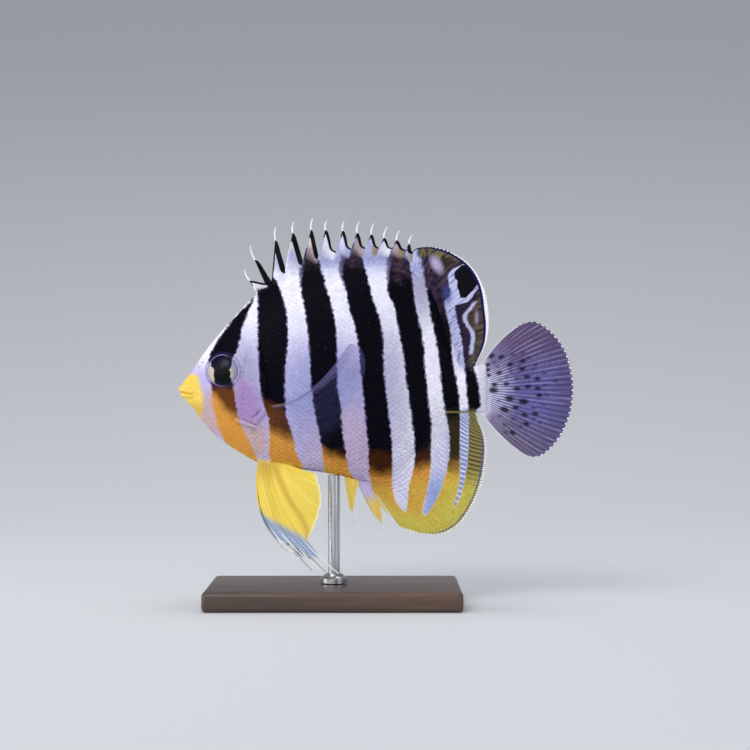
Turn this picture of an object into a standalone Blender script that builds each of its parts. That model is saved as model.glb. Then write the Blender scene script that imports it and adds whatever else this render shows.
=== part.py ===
"""A multibarred angelfish as a still, life-size museum model, swimming level on a plain display stand.

Lengths are in millimetres in the fish's own frame: x runs back from the tip of the snout, z up from
the level of the snout, and y is 0 in the plane of symmetry, with the left side at -y. place() turns
them into metres on the floor. The head points along -X, up is +Z, and the floor under the stand is Z = 0.
"""

import math

import bmesh
import bpy
from mathutils import Matrix, Vector
from mathutils.bvhtree import BVHTree

MM = 0.001

# Driving sizes
TOTAL_LENGTH = 100.0
SNOUT_HEIGHT = 54.5
GAP = 0.3
SCALE_SHEATH = 1.5

# Body stations from snout to tail root: the widest point's x and z, the half width there,
# the back's x and z and the belly's x and z on the same rib.
STATIONS = (
    (0.0, -0.2, 0.0, 0.0, -0.2, 0.0, -0.2),
    (0.5, -0.3, 0.9, 0.4, 0.8, 0.5, -1.6),
    (1.6, -0.4, 1.6, 1.4, 2.3, 1.8, -3.3),
    (3.8, -0.4, 2.7, 3.3, 4.7, 3.9, -5.7),
    (7.0, -0.2, 4.3, 6.3, 9.3, 7.0, -9.8),
    (11.5, 0.4, 6.0, 10.6, 14.6, 11.6, -13.8),
    (17.0, 1.5, 7.4, 16.4, 21.0, 17.4, -17.5),
    (23.0, 2.5, 8.2, 22.4, 26.0, 23.2, -19.8),
    (31.0, 3.5, 8.6, 30.6, 29.9, 31.5, -20.6),
    (40.0, 4.2, 8.3, 40.5, 32.1, 40.2, -21.9),
    (48.5, 4.2, 7.3, 50.5, 32.8, 48.5, -23.6),
    (56.0, 3.2, 5.8, 58.8, 31.4, 55.5, -21.4),
    (61.5, 1.8, 4.5, 64.4, 25.4, 61.6, -15.0),
    (65.5, 0.8, 3.5, 68.0, 14.0, 66.4, -8.0),
    (69.0, 0.2, 2.8, 70.9, 6.4, 69.6, -5.9),
    (73.0, 0.0, 2.2, 74.3, 5.7, 74.0, -5.8),
    (77.3, 0.0, 1.5, 77.3, 6.4, 77.3, -6.4),
)
BACK_SHARPNESS = 1.45
BELLY_SHARPNESS = 1.2
RINGS_PER_STATION = 3
RING_SIDES = 36

# Head
EYE_X, EYE_Z = 11.1, 4.75
EYE_RADIUS, EYE_DEPTH, EYE_SUNK = 4.45, 2.0, 0.9
EYE_TURN, EYE_TILT = 16.0, 8.0
LIP_RADIUS = 0.62
LIP_TAPER = (0.6, 0.85, 1.0, 1.0, 1.0, 1.0, 1.0, 0.85, 0.6)
# A lip's front, its corner's x, the half width there and the heights at the front and the corner
UPPER_LIP = (0.42, 3.3, 2.1, -0.15, -1.1)
LOWER_LIP = (0.95, 3.3, 1.95, -1.65, -1.75)
MOUTH_SLIT = ((-1.0, -0.78), (3.0, -1.36), (-1.0, -1.14))
NOSTRILS = ((5.0, 5.6), (6.0, 6.7))
NOSTRIL_RADIUS = 0.3
NOSTRIL_ABOVE, NOSTRIL_BELOW, NOSTRIL_SLANT = 0.4, 0.9, 0.2
CHEEK_SPINE = ((14.6, -7.7), (20.9, -10.0))
CHEEK_SPINE_RADII = (0.85, 0.72, 0.55, 0.36, 0.12)
CHEEK_SPINE_SUNK, CHEEK_SPINE_PROUD = 0.25, 1.1
GILL_EDGE = (
    (17.6, 26.0), (18.8, 17.0), (20.4, 10.5), (22.0, 4.0), (22.6, -2.0),
    (21.9, -6.4), (19.6, -9.4), (17.6, -13.2), (16.6, -22.0),
)
COVER_FRONT = ((19.3, 12.4), (17.6, 8.0), (16.7, 3.0), (16.9, -2.0), (16.3, -6.4))
COVER_TOP, COVER_BOTTOM = 10.5, -6.4
COVER_PROUD, COVER_DEPTH, COVER_BED = 1.045, 0.87, 0.83

# Where the tail stalk is parted from the trunk
STALK_X = 68.8

# Fins. A dorsal spine's root x, its lean back from upright in degrees, the length that carries web,
# the whole length with its threadlike tip, and how high the web still stands at the next spine.
DORSAL_SPINES = (
    (19.9, -33.0, 3.8, 6.9, 0.6),
    (22.3, -25.0, 7.4, 11.4, 0.5),
    (23.6, 5.0, 9.8, 13.4, 2.5),
    (26.6, 11.0, 10.4, 13.4, 2.7),
    (30.9, 15.0, 9.9, 12.9, 2.9),
    (34.8, 15.0, 8.4, 11.4, 3.1),
    (38.8, 15.0, 7.6, 10.4, 3.3),
    (42.7, 16.0, 6.9, 10.3, 3.3),
    (46.3, 20.0, 6.4, 9.6, 3.3),
    (49.8, 24.0, 5.7, 8.7, 3.3),
    (53.1, 25.0, 5.3, 7.9, 3.3),
    (56.4, 27.0, 4.9, 7.1, 3.3),
)
DORSAL_FRONT_END, DORSAL_FRONT_LEAN = 59.9, 8.0
SPINE_CLEAR = 0.35
SPINE_RADIUS = 0.5
SPINE_TAPER = (1.0, 0.85, 0.62, 0.28)
# Half thicknesses of a web at a spine's root, at its apex, between two spines and at its edge
WEB_AT_SPINE, WEB_APEX, WEB_BETWEEN, WEB_EDGE = 0.3, 0.26, 0.28, 0.25
ANAL_WEB_ROOT = 0.36
ANAL_SPINE_RADII = (0.5, 0.42, 0.32, 0.13)
# Half thicknesses of a rayed fin at a ray's root, between the rays' roots and at the margin
RAYED = (0.42, 0.27, 0.25)
TAIL_RAYED = (0.5, 0.3, 0.25)
PECTORAL_RAYED = (0.4, 0.26, 0.25)
PELVIC_RAY, PELVIC_WEB, PELVIC_THREAD, PELVIC_MARGIN = 0.5, 0.27, 0.18, 0.25
THREAD_RAYS = 7
SOFT_RAYS = 18
SOFT_DORSAL_ROOTS = (
    (59.5, 28.5), (63.0, 24.6), (65.6, 18.6), (67.4, 12.6), (69.2, 6.6), (71.5, 4.2), (74.2, 4.0),
)
SOFT_DORSAL_MARGIN = (
    (60.6, 35.8), (65.6, 35.7), (70.6, 33.7), (74.6, 30.3), (77.3, 25.2),
    (78.45, 18.6), (78.0, 12.6), (76.2, 8.3), (74.6, 6.6),
)
ANAL_WEBS = (
    ((41.9, -20.4), (43.6, -33.0)),
    ((42.8, -20.6), (44.2, -29.3)),
    ((43.6, -20.8), (44.9, -25.9)),
    ((44.2, -20.9), (51.2, -34.8)),
    ((45.1, -21.1), (51.0, -32.2)),
    ((45.9, -21.2), (50.7, -29.5)),
)
ANAL_SPINES = (
    ((41.9, -20.4), (42.6, -25.0), (43.5, -31.0), (44.2, -34.0)),
    ((44.2, -20.9), (46.6, -26.5), (50.0, -33.0), (52.8, -36.8)),
    ((46.4, -21.3), (49.4, -26.5), (52.6, -31.3), (56.0, -35.4)),
)
ANAL_ROOTS = (
    (46.4, -21.3), (50.5, -21.6), (55.0, -19.6), (59.5, -15.0),
    (63.2, -10.0), (66.2, -5.6), (69.0, -4.2), (74.7, -4.2),
)
ANAL_MARGIN = (
    (55.8, -35.2), (61.6, -36.9), (66.6, -36.9), (71.0, -34.4), (74.6, -29.3),
    (77.0, -22.8), (77.9, -15.5), (77.0, -10.6), (75.2, -7.4),
)
TAIL_RAYS = 17
TAIL_ROOTS = ((76.2, 5.4), (76.4, 0.0), (76.2, -5.4))
TAIL_MARGIN = (
    (86.4, 16.2), (90.2, 17.0), (94.2, 14.5), (97.8, 9.7), (99.6, 3.5), (99.9, -1.5),
    (98.8, -7.4), (96.0, -13.0), (92.4, -16.6), (89.4, -17.3), (86.9, -16.1),
)
PELVIC_ROOT = ((20.4, -16.6), (24.6, -18.0))
PELVIC_SPREAD_ROOT, PELVIC_SPREAD = 1.5, 10.0
PELVIC_SWING = {"left": 0.0, "right": 5.0}
PELVIC_TIPS = (
    ((18.4, -33.6), (29.2, -41.1)),
    ((19.9, -33.0), (28.6, -38.8)),
    ((20.5, -33.4), (32.2, -42.4)),
    ((21.6, -33.0), (31.8, -40.6)),
    ((22.4, -33.8), (36.0, -45.6)),
    ((23.4, -33.2), (34.4, -42.2)),
    ((24.2, -34.2), (40.6, -46.4)),
    ((26.0, -29.0), (33.4, -39.1)),
    ((27.0, -25.6), (34.9, -34.0)),
    ((27.6, -24.2), (35.7, -31.2)),
    ((28.2, -22.8), (36.2, -28.2)),
    ((28.6, -21.8), (36.0, -26.0)),
    ((29.0, -20.8), (35.4, -23.9)),
    ((29.2, -20.2), (34.8, -21.6)),
)
PECTORAL_RAYS = 14
PECTORAL_ROOTS = ((22.9, -4.2), (23.2, -7.6), (23.6, -10.8))
PECTORAL_MARGIN = (
    (43.6, 11.4), (47.0, 8.0), (46.8, 2.5), (44.4, -3.5), (41.0, -9.6), (36.6, -15.0), (31.0, -18.4),
)
PECTORAL_CLEAR, PECTORAL_SPREAD, PECTORAL_SUNK = 2.3, 3.4, 0.7

# Stand
BASE_SIZE = (64.0, 44.0, 5.0)
BASE_BEVEL = 1.2
ROD_X, ROD_RADIUS, ROD_TOP = 39.2, 1.5, -19.0
COLLAR_RADIUS, COLLAR_TOP_RADIUS, COLLAR_STRAIGHT, COLLAR_HEIGHT = 3.4, 2.4, 1.2, 2.2


def place(x, y, z):
    """The floor-frame point, in metres, of a point in the fish's frame in millimetres."""
    return Vector(((x - TOTAL_LENGTH / 2) * MM, y * MM, (z + SNOUT_HEIGHT) * MM))


def ease(knots, at):
    """A smooth curve through equally spaced knots of any width, at a position counted in knots."""
    last = len(knots) - 1
    i = min(int(at), last - 1)
    t = at - i
    around = [knots[max(i - 1, 0)], knots[i], knots[i + 1], knots[min(i + 2, last)]]
    result = []
    for a, b, c, d in zip(*around):
        square = (2 * a - 5 * b + 4 * c - d) * t * t
        cube = (3 * b - a - 3 * c + d) * t**3
        result.append(0.5 * (2 * b + (c - a) * t + square + cube))
    return result


def smooth_line(points, count):
    """count + 1 points at even spacing along a smooth curve through the given ones."""
    fine = [ease(points, (len(points) - 1) * i / 400) for i in range(401)]
    lengths = [0.0]
    for a, b in zip(fine, fine[1:]):
        lengths.append(lengths[-1] + math.dist(a, b))
    result = []
    j = 0
    for i in range(count + 1):
        wanted = lengths[-1] * i / count
        while j < 399 and lengths[j + 1] < wanted:
            j += 1
        span = max(lengths[j + 1] - lengths[j], 1e-9)
        t = min(max((wanted - lengths[j]) / span, 0.0), 1.0)
        result.append([p + (q - p) * t for p, q in zip(fine[j], fine[j + 1])])
    return result


def new_object(name, points, faces, material=None):
    """A mesh object from points in the fish's frame, its faces turned outward."""
    mesh = bpy.data.meshes.new(name)
    mesh.from_pydata([place(*p) for p in points], [], faces)
    bm = bmesh.new()
    bm.from_mesh(mesh)
    bmesh.ops.recalc_face_normals(bm, faces=bm.faces)
    bm.to_mesh(mesh)
    bm.free()
    obj = bpy.data.objects.new(name, mesh)
    bpy.context.scene.collection.objects.link(obj)
    if material:
        mesh.materials.append(material)
    return obj


def evaluated_mesh(obj):
    bpy.context.view_layer.update()
    graph = bpy.context.evaluated_depsgraph_get()
    return bpy.data.meshes.new_from_object(obj.evaluated_get(graph))


def discard(objects):
    for obj in objects:
        bpy.data.objects.remove(obj)


def keep_largest(obj):
    """Leaves the largest closed surface of a mesh, so that no scrap or sealed hollow stays."""
    bm = bmesh.new()
    bm.from_mesh(obj.data)
    bmesh.ops.remove_doubles(bm, verts=bm.verts, dist=1e-7)
    left = set(bm.faces)
    islands = []
    while left:
        stack = [left.pop()]
        island = set(stack)
        while stack:
            for edge in stack.pop().edges:
                for face in edge.link_faces:
                    if face in left:
                        left.discard(face)
                        island.add(face)
                        stack.append(face)
        islands.append(island)
    largest = max(islands, key=lambda faces: sum(f.calc_area() for f in faces))
    extra = [f for f in bm.faces if f not in largest]
    bmesh.ops.delete(bm, geom=extra, context="FACES")
    loose = [v for v in bm.verts if not v.link_faces]
    bmesh.ops.delete(bm, geom=loose, context="VERTS")
    bm.to_mesh(obj.data)
    bm.free()


def cut(obj, cutters, operation="DIFFERENCE", keep=False):
    """Applies one Boolean with a set of closed meshes, then removes them unless they are kept."""
    shelf = bpy.data.collections.new("Cutters")
    bpy.context.scene.collection.children.link(shelf)
    for cutter in cutters:
        shelf.objects.link(cutter)
    modifier = obj.modifiers.new("Cut", "BOOLEAN")
    modifier.operation = operation
    modifier.solver = "EXACT"
    if operation == "INTERSECT":
        modifier.object = cutters[0]
    else:
        modifier.operand_type = "COLLECTION"
        modifier.collection = shelf
    mesh = evaluated_mesh(obj)
    obj.modifiers.clear()
    obj.data = mesh
    bpy.data.collections.remove(shelf)
    if not keep:
        discard(cutters)
    keep_largest(obj)


def paint(name, colour, roughness, metallic=0.0):
    material = bpy.data.materials.new(name)
    material.use_nodes = True
    shader = material.node_tree.nodes["Principled BSDF"]
    shader.inputs["Base Color"].default_value = (*colour, 1.0)
    shader.inputs["Roughness"].default_value = roughness
    shader.inputs["Metallic"].default_value = metallic
    return material


def body_point(station, angle):
    """A point of the body at a station position and an angle from the back, round the left side."""
    x, z, half, back_x, back_z, belly_x, belly_z = ease(STATIONS, station)
    height = math.cos(angle)
    side = math.sin(angle)
    rim_x, rim_z = (back_x, back_z) if height > 0 else (belly_x, belly_z)
    sharp = BACK_SHARPNESS if height > 0 else BELLY_SHARPNESS
    sharp = 1 + (sharp - 1) * min(station / 7, 1)
    across = math.copysign(abs(side) ** sharp, side) * half
    return (x + (rim_x - x) * abs(height), -across, z + (rim_z - z) * abs(height))


def body_solid(name, swell=0.0):
    """The whole fleshy body, closed at the snout and flat at the tail root."""
    last = len(STATIONS) - 1
    rings = last * RINGS_PER_STATION
    points = [body_point(0, 0)]
    for ring in range(1, rings + 1):
        station = last * (ring / rings)
        for side in range(RING_SIDES):
            points.append(body_point(station, 2 * math.pi * side / RING_SIDES))
    faces = []
    for side in range(RING_SIDES):
        after = (side + 1) % RING_SIDES
        faces.append((0, 1 + side, 1 + after))
        for ring in range(rings - 1):
            a = 1 + ring * RING_SIDES
            b = a + RING_SIDES
            faces.append((a + side, b + side, b + after))
            faces.append((a + side, b + after, a + after))
    faces.append([1 + (rings - 1) * RING_SIDES + side for side in range(RING_SIDES)])
    body = new_object(name, points, faces)
    if swell:
        bm = bmesh.new()
        bm.from_mesh(body.data)
        bm.normal_update()
        moves = [v.normal * swell * MM for v in bm.verts]
        for v, move in zip(bm.verts, moves):
            v.co += move
        bm.to_mesh(body.data)
        bm.free()
    return body


def sheet(name, columns, material=None):
    """A fin as a thin closed sheet. Each column is a list of (x, y, z, half thickness), root to tip,
    and both faces are split into triangles alike."""
    rows = len(columns[0])
    count = len(columns)
    points = []
    for side in (-1, 1):
        for column in columns:
            for x, y, z, half in column:
                points.append((x, y + side * half, z))
    far = count * rows
    faces = []
    for i in range(count - 1):
        for j in range(rows - 1):
            a, b, c, d = i * rows + j, (i + 1) * rows + j, (i + 1) * rows + j + 1, i * rows + j + 1
            if (i + j) % 2:
                faces += [(a, b, c), (a, c, d), (far + a, far + c, far + b), (far + a, far + d, far + c)]
            else:
                faces += [(a, b, d), (b, c, d), (far + a, far + d, far + b), (far + b, far + d, far + c)]
    border = [i * rows for i in range(count)]
    border += [(count - 1) * rows + j for j in range(1, rows)]
    border += [i * rows + rows - 1 for i in range(count - 2, -1, -1)]
    border += [j for j in range(rows - 2, 0, -1)]
    for a, b in zip(border, border[1:] + border[:1]):
        faces += [(a, far + a, far + b), (a, far + b, b)]
    return new_object(name, points, faces, material)


def rayed_columns(roots, tips, rays, rows, halves, bow, drift=None, skew=0.0):
    """Columns of a rayed fin: a ridge at each ray and a valley between, from a root line to a margin."""
    ray_half, web_half, edge_half = halves
    steps = 2 * rays
    root_line = smooth_line(roots, steps)
    tip_line = smooth_line(tips, steps * 8)
    columns = []
    for i, root in enumerate(root_line):
        s = i / steps
        tip = tip_line[round((s + skew * math.sin(math.pi * s)) * steps * 8)]
        bow_x, bow_z = bow(s)
        column = []
        for j in range(rows + 1):
            t = j / rows
            arch = 4 * t * (1 - t)
            x = root[0] + (tip[0] - root[0]) * t + bow_x * arch
            z = root[1] + (tip[1] - root[1]) * t + bow_z * arch
            half = (ray_half if i % 2 else web_half) * (1 - t) + edge_half * t
            half += (0.12 if i % 2 else 0.0) * arch
            y = drift(s, t) if drift else 0.0
            column.append((x, y, z, half))
        columns.append(column)
    return columns


def spike(name, path, radii, sides=6):
    """A round tapering rod along points in the fish's frame."""
    points = []
    for i, point in enumerate(path):
        before = Vector(path[max(i - 1, 0)])
        after = Vector(path[min(i + 1, len(path) - 1)])
        along = (after - before).normalized()
        across = along.cross(Vector((0, 1, 0))).normalized()
        over = along.cross(across).normalized()
        for k in range(sides):
            turn = 2 * math.pi * k / sides
            points.append(Vector(point) + (across * math.cos(turn) + over * math.sin(turn)) * radii[i])
    faces = []
    for i in range(len(path) - 1):
        for k in range(sides):
            a, b = i * sides + k, i * sides + (k + 1) % sides
            faces += [(a, b, b + sides), (a, b + sides, a + sides)]
    faces.append(list(range(sides)))
    faces.append([(len(path) - 1) * sides + k for k in range(sides)])
    return new_object(name, points, faces)


def ray_hit(tree, x, z, side):
    """Where the flank stands at a height and distance from the snout, on one side (-1 left, 1 right)."""
    start = place(x, side * 40.0, z)
    hit = tree.ray_cast(start, Vector((0, -side, 0)))[0]
    return abs(hit.y) / MM


def prism(name, outline, near, far):
    """An outline in the plane of symmetry, extruded from one y to another."""
    points = [(x, near, z) for x, z in outline] + [(x, far, z) for x, z in outline]
    n = len(outline)
    faces = [list(range(n)), list(range(n, 2 * n))]
    faces += [(i, (i + 1) % n, n + (i + 1) % n, n + i) for i in range(n)]
    return new_object(name, points, faces)


def ellipsoid(name, centre, radii, turn, tilt, material=None):
    """A ball with three radii in millimetres, turned about Z and tilted about X."""
    bm = bmesh.new()
    bmesh.ops.create_uvsphere(bm, u_segments=20, v_segments=10, radius=1.0)
    shape = Matrix.Diagonal((*radii, 1.0))
    stand_up = Matrix.Rotation(math.radians(90), 4, "X")
    for v in bm.verts:
        v.co = stand_up @ v.co
        v.co = Matrix.Rotation(turn, 4, "Z") @ Matrix.Rotation(tilt, 4, "X") @ (shape @ v.co)
    points = [(centre[0] + v.co.x, centre[1] + v.co.y, centre[2] + v.co.z) for v in bm.verts]
    faces = [[v.index for v in f.verts] for f in bm.faces]
    bm.free()
    return new_object(name, points, faces, material)


def front_of_gill(shift):
    """The outline of all that lies ahead of the gill opening, moved back by a distance."""
    edge = [(x + shift, z) for x, z in smooth_line(GILL_EDGE, 22)]
    return edge + [(-5.0, edge[-1][1]), (-5.0, edge[0][1])]


def cover_outline(back):
    """The gill cover's outline, with its rear edge along the gill opening and moved back by a distance."""
    rear = [(x + back, z) for x, z in smooth_line(GILL_EDGE, 22) if COVER_BOTTOM < z < COVER_TOP]
    return [*smooth_line(COVER_FRONT, 8), *reversed(rear)]


def horseshoe(front, corner, half_width, front_z, corner_z, count=9):
    """A lip's path round the snout, from the left corner of the mouth to the right one."""
    path = []
    for i in range(count):
        a = -math.pi / 2 + math.pi * i / (count - 1)
        x = corner - (corner - front) * math.cos(a)
        z = corner_z + (front_z - corner_z) * math.cos(a)
        path.append((x, half_width * math.sin(a), z))
    return path


def make_head(finish):
    head = body_solid("head")
    tree = BVHTree.FromObject(head, bpy.context.evaluated_depsgraph_get())
    cut(head, [prism("ahead", front_of_gill(-GAP / 2), -30, 30)], "INTERSECT")
    radii = [LIP_RADIUS * r for r in LIP_TAPER]
    upper = spike("upper_lip", horseshoe(*UPPER_LIP), radii)
    lower = spike("lower_lip", horseshoe(*LOWER_LIP), radii)
    tools = [upper, lower]
    for side in (-1, 1):
        tools.append(cheek_spine(tree, side))
    cut(head, tools, "UNION")
    slit = prism("slit", MOUTH_SLIT, -6, 6)
    tools = [slit]
    for side in (-1, 1):
        surface = ray_hit(tree, EYE_X, EYE_Z, side)
        tools.append(eye_ball(f"socket{side}", side, surface, GAP))
        for x, z in NOSTRILS:
            surface = ray_hit(tree, x, z, side)
            path = [
                (x - NOSTRIL_SLANT, side * (surface + NOSTRIL_ABOVE), z),
                (x + NOSTRIL_SLANT, side * (surface - NOSTRIL_BELOW), z),
            ]
            tools.append(spike(f"nostril{side}{x}", path, [NOSTRIL_RADIUS] * 2))
        tools.append(cover_bed(side))
    cut(head, tools)
    head.data.materials.append(finish)
    return tree


def eye_ball(name, side, surface, extra, material=None):
    centre = (EYE_X, side * (surface - EYE_SUNK), EYE_Z)
    radii = (EYE_RADIUS + extra, EYE_RADIUS + extra, EYE_DEPTH + extra)
    turn, tilt = side * math.radians(EYE_TURN), side * math.radians(EYE_TILT)
    return ellipsoid(name, centre, (radii[0], radii[2], radii[1]), turn, tilt, material)


def cheek_spine(tree, side):
    """The backward spine at the lower corner of the cheek plate, which names an angelfish."""
    path = []
    for i in range(5):
        t = i / 4
        x = CHEEK_SPINE[0][0] + (CHEEK_SPINE[1][0] - CHEEK_SPINE[0][0]) * t
        z = CHEEK_SPINE[0][1] + (CHEEK_SPINE[1][1] - CHEEK_SPINE[0][1]) * t
        proud = (CHEEK_SPINE_SUNK + CHEEK_SPINE_PROUD) * t - CHEEK_SPINE_SUNK
        path.append((x, side * (ray_hit(tree, x, z, side) + proud), z))
    return spike(f"cheek{side}", path, CHEEK_SPINE_RADII)


def widened(outline, by):
    """An outline pushed out all round by a distance, corner by corner."""
    area = sum(a[0] * b[1] - b[0] * a[1] for a, b in zip(outline, outline[1:] + outline[:1]))
    turn = 1 if area > 0 else -1
    result = []
    n = len(outline)
    for i, (x, z) in enumerate(outline):
        px, pz = outline[i - 1]
        nx, nz = outline[(i + 1) % n]
        a = Vector((x - px, z - pz)).normalized()
        b = Vector((nx - x, nz - z)).normalized()
        out = (Vector((a.y, -a.x)) + Vector((b.y, -b.x))) * turn
        out = out / max(out.length_squared, 0.5) * 2
        result.append((x + out.x * by, z + out.y * by))
    return result


def cover_bed(side):
    """What the gill cover's bed takes out of the head."""
    bed = prism(f"bed{side}", widened(cover_outline(2.0), GAP), side * 0.5, side * 25)
    cut(bed, [flat_body("inner", COVER_BED)])
    return bed


def flat_body(name, factor):
    """The body with its thickness multiplied by a factor."""
    body = body_solid(name)
    for v in body.data.vertices:
        v.co.y *= factor
    return body


def make_gill_cover(name, side, finish):
    """The plate over the gills, standing a little proud of the head."""
    plate = prism(name, cover_outline(-GAP / 2), side * 0.5, side * 25)
    cut(plate, [flat_body("outer", COVER_PROUD)], "INTERSECT")
    cut(plate, [flat_body("inner", COVER_DEPTH)])
    plate.data.materials.append(finish)


def make_trunk(finish):
    trunk = body_solid("trunk")
    cut(trunk, [prism("ahead", front_of_gill(GAP / 2), -30, 30), slab("behind", STALK_X - GAP / 2, 120)])
    trunk.data.materials.append(finish)


def slab(name, x0, x1):
    return prism(name, [(x0, -60), (x1, -60), (x1, 60), (x0, 60)], -30, 30)


def make_tail_stalk(finish):
    stalk = body_solid("tail_stalk")
    cut(stalk, [slab("ahead", -10, STALK_X + GAP / 2)])
    stalk.data.materials.append(finish)


def lean_point(x, z, lean, length):
    return (x + length * math.sin(math.radians(lean)), z + length * math.cos(math.radians(lean)))


def back_height(x):
    """How high the back stands at a distance from the snout."""
    best = min(range(401), key=lambda i: abs(body_point(i * 12 / 400, 0)[0] - x))
    return body_point(best * 12 / 400, 0)[2]


def web_column(root, top, half, edge, rows=4):
    column = []
    for j in range(rows + 1):
        t = j / rows
        x, z = root[0] + (top[0] - root[0]) * t, root[1] + (top[1] - root[1]) * t
        column.append((x, 0.0, z, half + (edge - half) * t))
    return column


def make_dorsal_spines(skin, finish):
    """The front dorsal fin: twelve spines, each with a notched web and a threadlike tip behind it."""
    columns, spikes = [], []
    for i, (root_x, lean, web_length, whole_length, notch_height) in enumerate(DORSAL_SPINES):
        root_z = back_height(root_x)
        deep = lean_point(root_x, root_z, lean, -SCALE_SHEATH)
        apex = lean_point(root_x, root_z, lean, web_length)
        tip = lean_point(root_x, root_z, lean * 0.9, whole_length)
        if i + 1 < len(DORSAL_SPINES):
            next_x, next_lean = DORSAL_SPINES[i + 1][:2]
        else:
            next_x, next_lean = DORSAL_FRONT_END, DORSAL_FRONT_LEAN
        next_z = back_height(next_x)
        next_deep = lean_point(next_x - SPINE_CLEAR, next_z, next_lean, -SCALE_SHEATH)
        notch = lean_point(next_x - SPINE_CLEAR, next_z, next_lean, notch_height)
        middle_root = [(a + b) / 2 for a, b in zip(deep, next_deep)]
        middle_top = [a * 0.45 + b * 0.55 for a, b in zip(apex, notch)]
        middle_top[0] += 0.35
        columns.append(web_column(deep, apex, WEB_AT_SPINE, WEB_APEX, 3))
        columns.append(web_column(middle_root, middle_top, WEB_BETWEEN, WEB_EDGE, 3))
        columns.append(web_column(next_deep, notch, WEB_BETWEEN, WEB_EDGE, 3))
        half_way = lean_point(root_x, root_z, lean, web_length * 0.5)
        path = [(x, 0.0, z) for x, z in (deep, half_way, apex, tip)]
        spikes.append(spike(f"spine{i}", path, [SPINE_RADIUS * r for r in SPINE_TAPER]))
    fin = sheet("dorsal_fin_spiny", columns)
    cut(fin, spikes, "UNION")
    cut(fin, [skin], keep=True)
    fin.data.materials.append(finish)


def make_dorsal_soft(skin, finish):
    columns = rayed_columns(
        SOFT_DORSAL_ROOTS, SOFT_DORSAL_MARGIN, SOFT_RAYS, 4, RAYED,
        bow=lambda s: (-0.6 * math.sin(math.pi * s), 1.0 - s), skew=0.1,
    )
    fin = sheet("dorsal_fin_soft", columns)
    cut(fin, [skin], keep=True)
    fin.data.materials.append(finish)


def make_anal_fin(skin, finish):
    columns = [web_column(a, b, ANAL_WEB_ROOT, WEB_EDGE) for a, b in ANAL_WEBS]
    columns += rayed_columns(
        ANAL_ROOTS, ANAL_MARGIN, SOFT_RAYS, 4, RAYED,
        bow=lambda s: (-1.4 * math.sin(math.pi * s), -1.4 * math.sin(math.pi * s)), skew=0.15,
    )
    fin = sheet("anal_fin", columns)
    spikes = []
    for i, path in enumerate(ANAL_SPINES):
        points = [(x, 0.0, z) for x, z in path]
        spikes.append(spike(f"spine{i}", points, ANAL_SPINE_RADII))
    cut(fin, spikes, "UNION")
    cut(fin, [skin], keep=True)
    fin.data.materials.append(finish)


def make_tail_fin(skin, finish):
    columns = rayed_columns(
        TAIL_ROOTS, TAIL_MARGIN, TAIL_RAYS, 5, TAIL_RAYED, bow=lambda s: (-0.3, 1.0 - 2 * s),
    )
    fin = sheet("tail_fin", columns)
    cut(fin, [skin], keep=True)
    fin.data.materials.append(finish)


def curve_point(a, b, c, t):
    """A point on the quadratic curve from a to c, drawn towards b."""
    return [p * (1 - t) ** 2 + 2 * q * t * (1 - t) + r * t * t for p, q, r in zip(a, b, c)]


def make_pelvic_fin(name, side, swing, skin, finish):
    """A fan of rays whose first four end in threads. It is swung forward about its root by an angle."""
    columns = []
    count = len(PELVIC_TIPS)
    for i, (control, tip) in enumerate(PELVIC_TIPS):
        s = i / (count - 1)
        root = (PELVIC_ROOT[0][0] + (PELVIC_ROOT[1][0] - PELVIC_ROOT[0][0]) * s,
                PELVIC_ROOT[0][1] + (PELVIC_ROOT[1][1] - PELVIC_ROOT[0][1]) * s)
        column = []
        for j in range(9):
            t = j / 8
            x, z = curve_point(root, control, tip, t)
            x, z = x - PELVIC_ROOT[0][0], z - PELVIC_ROOT[0][1]
            a = math.radians(swing)
            x, z = x * math.cos(a) + z * math.sin(a), z * math.cos(a) - x * math.sin(a)
            y = side * (PELVIC_SPREAD_ROOT + math.tan(math.radians(PELVIC_SPREAD)) * -z)
            ridge = PELVIC_WEB if i % 2 else PELVIC_RAY
            half = ridge * (1 - t) + (PELVIC_THREAD if i < THREAD_RAYS else PELVIC_MARGIN) * t
            column.append((x + PELVIC_ROOT[0][0], y, z + PELVIC_ROOT[0][1], half))
        columns.append(column)
    fin = sheet(name, columns)
    cut(fin, [skin], keep=True)
    fin.data.materials.append(finish)


def make_pectoral_fin(name, side, tree, skin, finish):
    """A broad fan behind the gill cover, standing off the flank."""
    upper, lower = [ray_hit(tree, *root, side) for root in (PECTORAL_ROOTS[0], PECTORAL_ROOTS[-1])]

    def drift(s, t):
        flank = upper + (lower - upper) * s
        return side * (flank + PECTORAL_CLEAR * min(t * 5, 1) - PECTORAL_SUNK + PECTORAL_SPREAD * t)

    columns = rayed_columns(
        PECTORAL_ROOTS, PECTORAL_MARGIN, PECTORAL_RAYS, 5, PECTORAL_RAYED,
        bow=lambda s: (0.2 * (1 - s), -3.8 * (1 - s)), drift=drift,
    )
    fin = sheet(name, columns)
    cut(fin, [skin], keep=True)
    fin.data.materials.append(finish)


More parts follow.
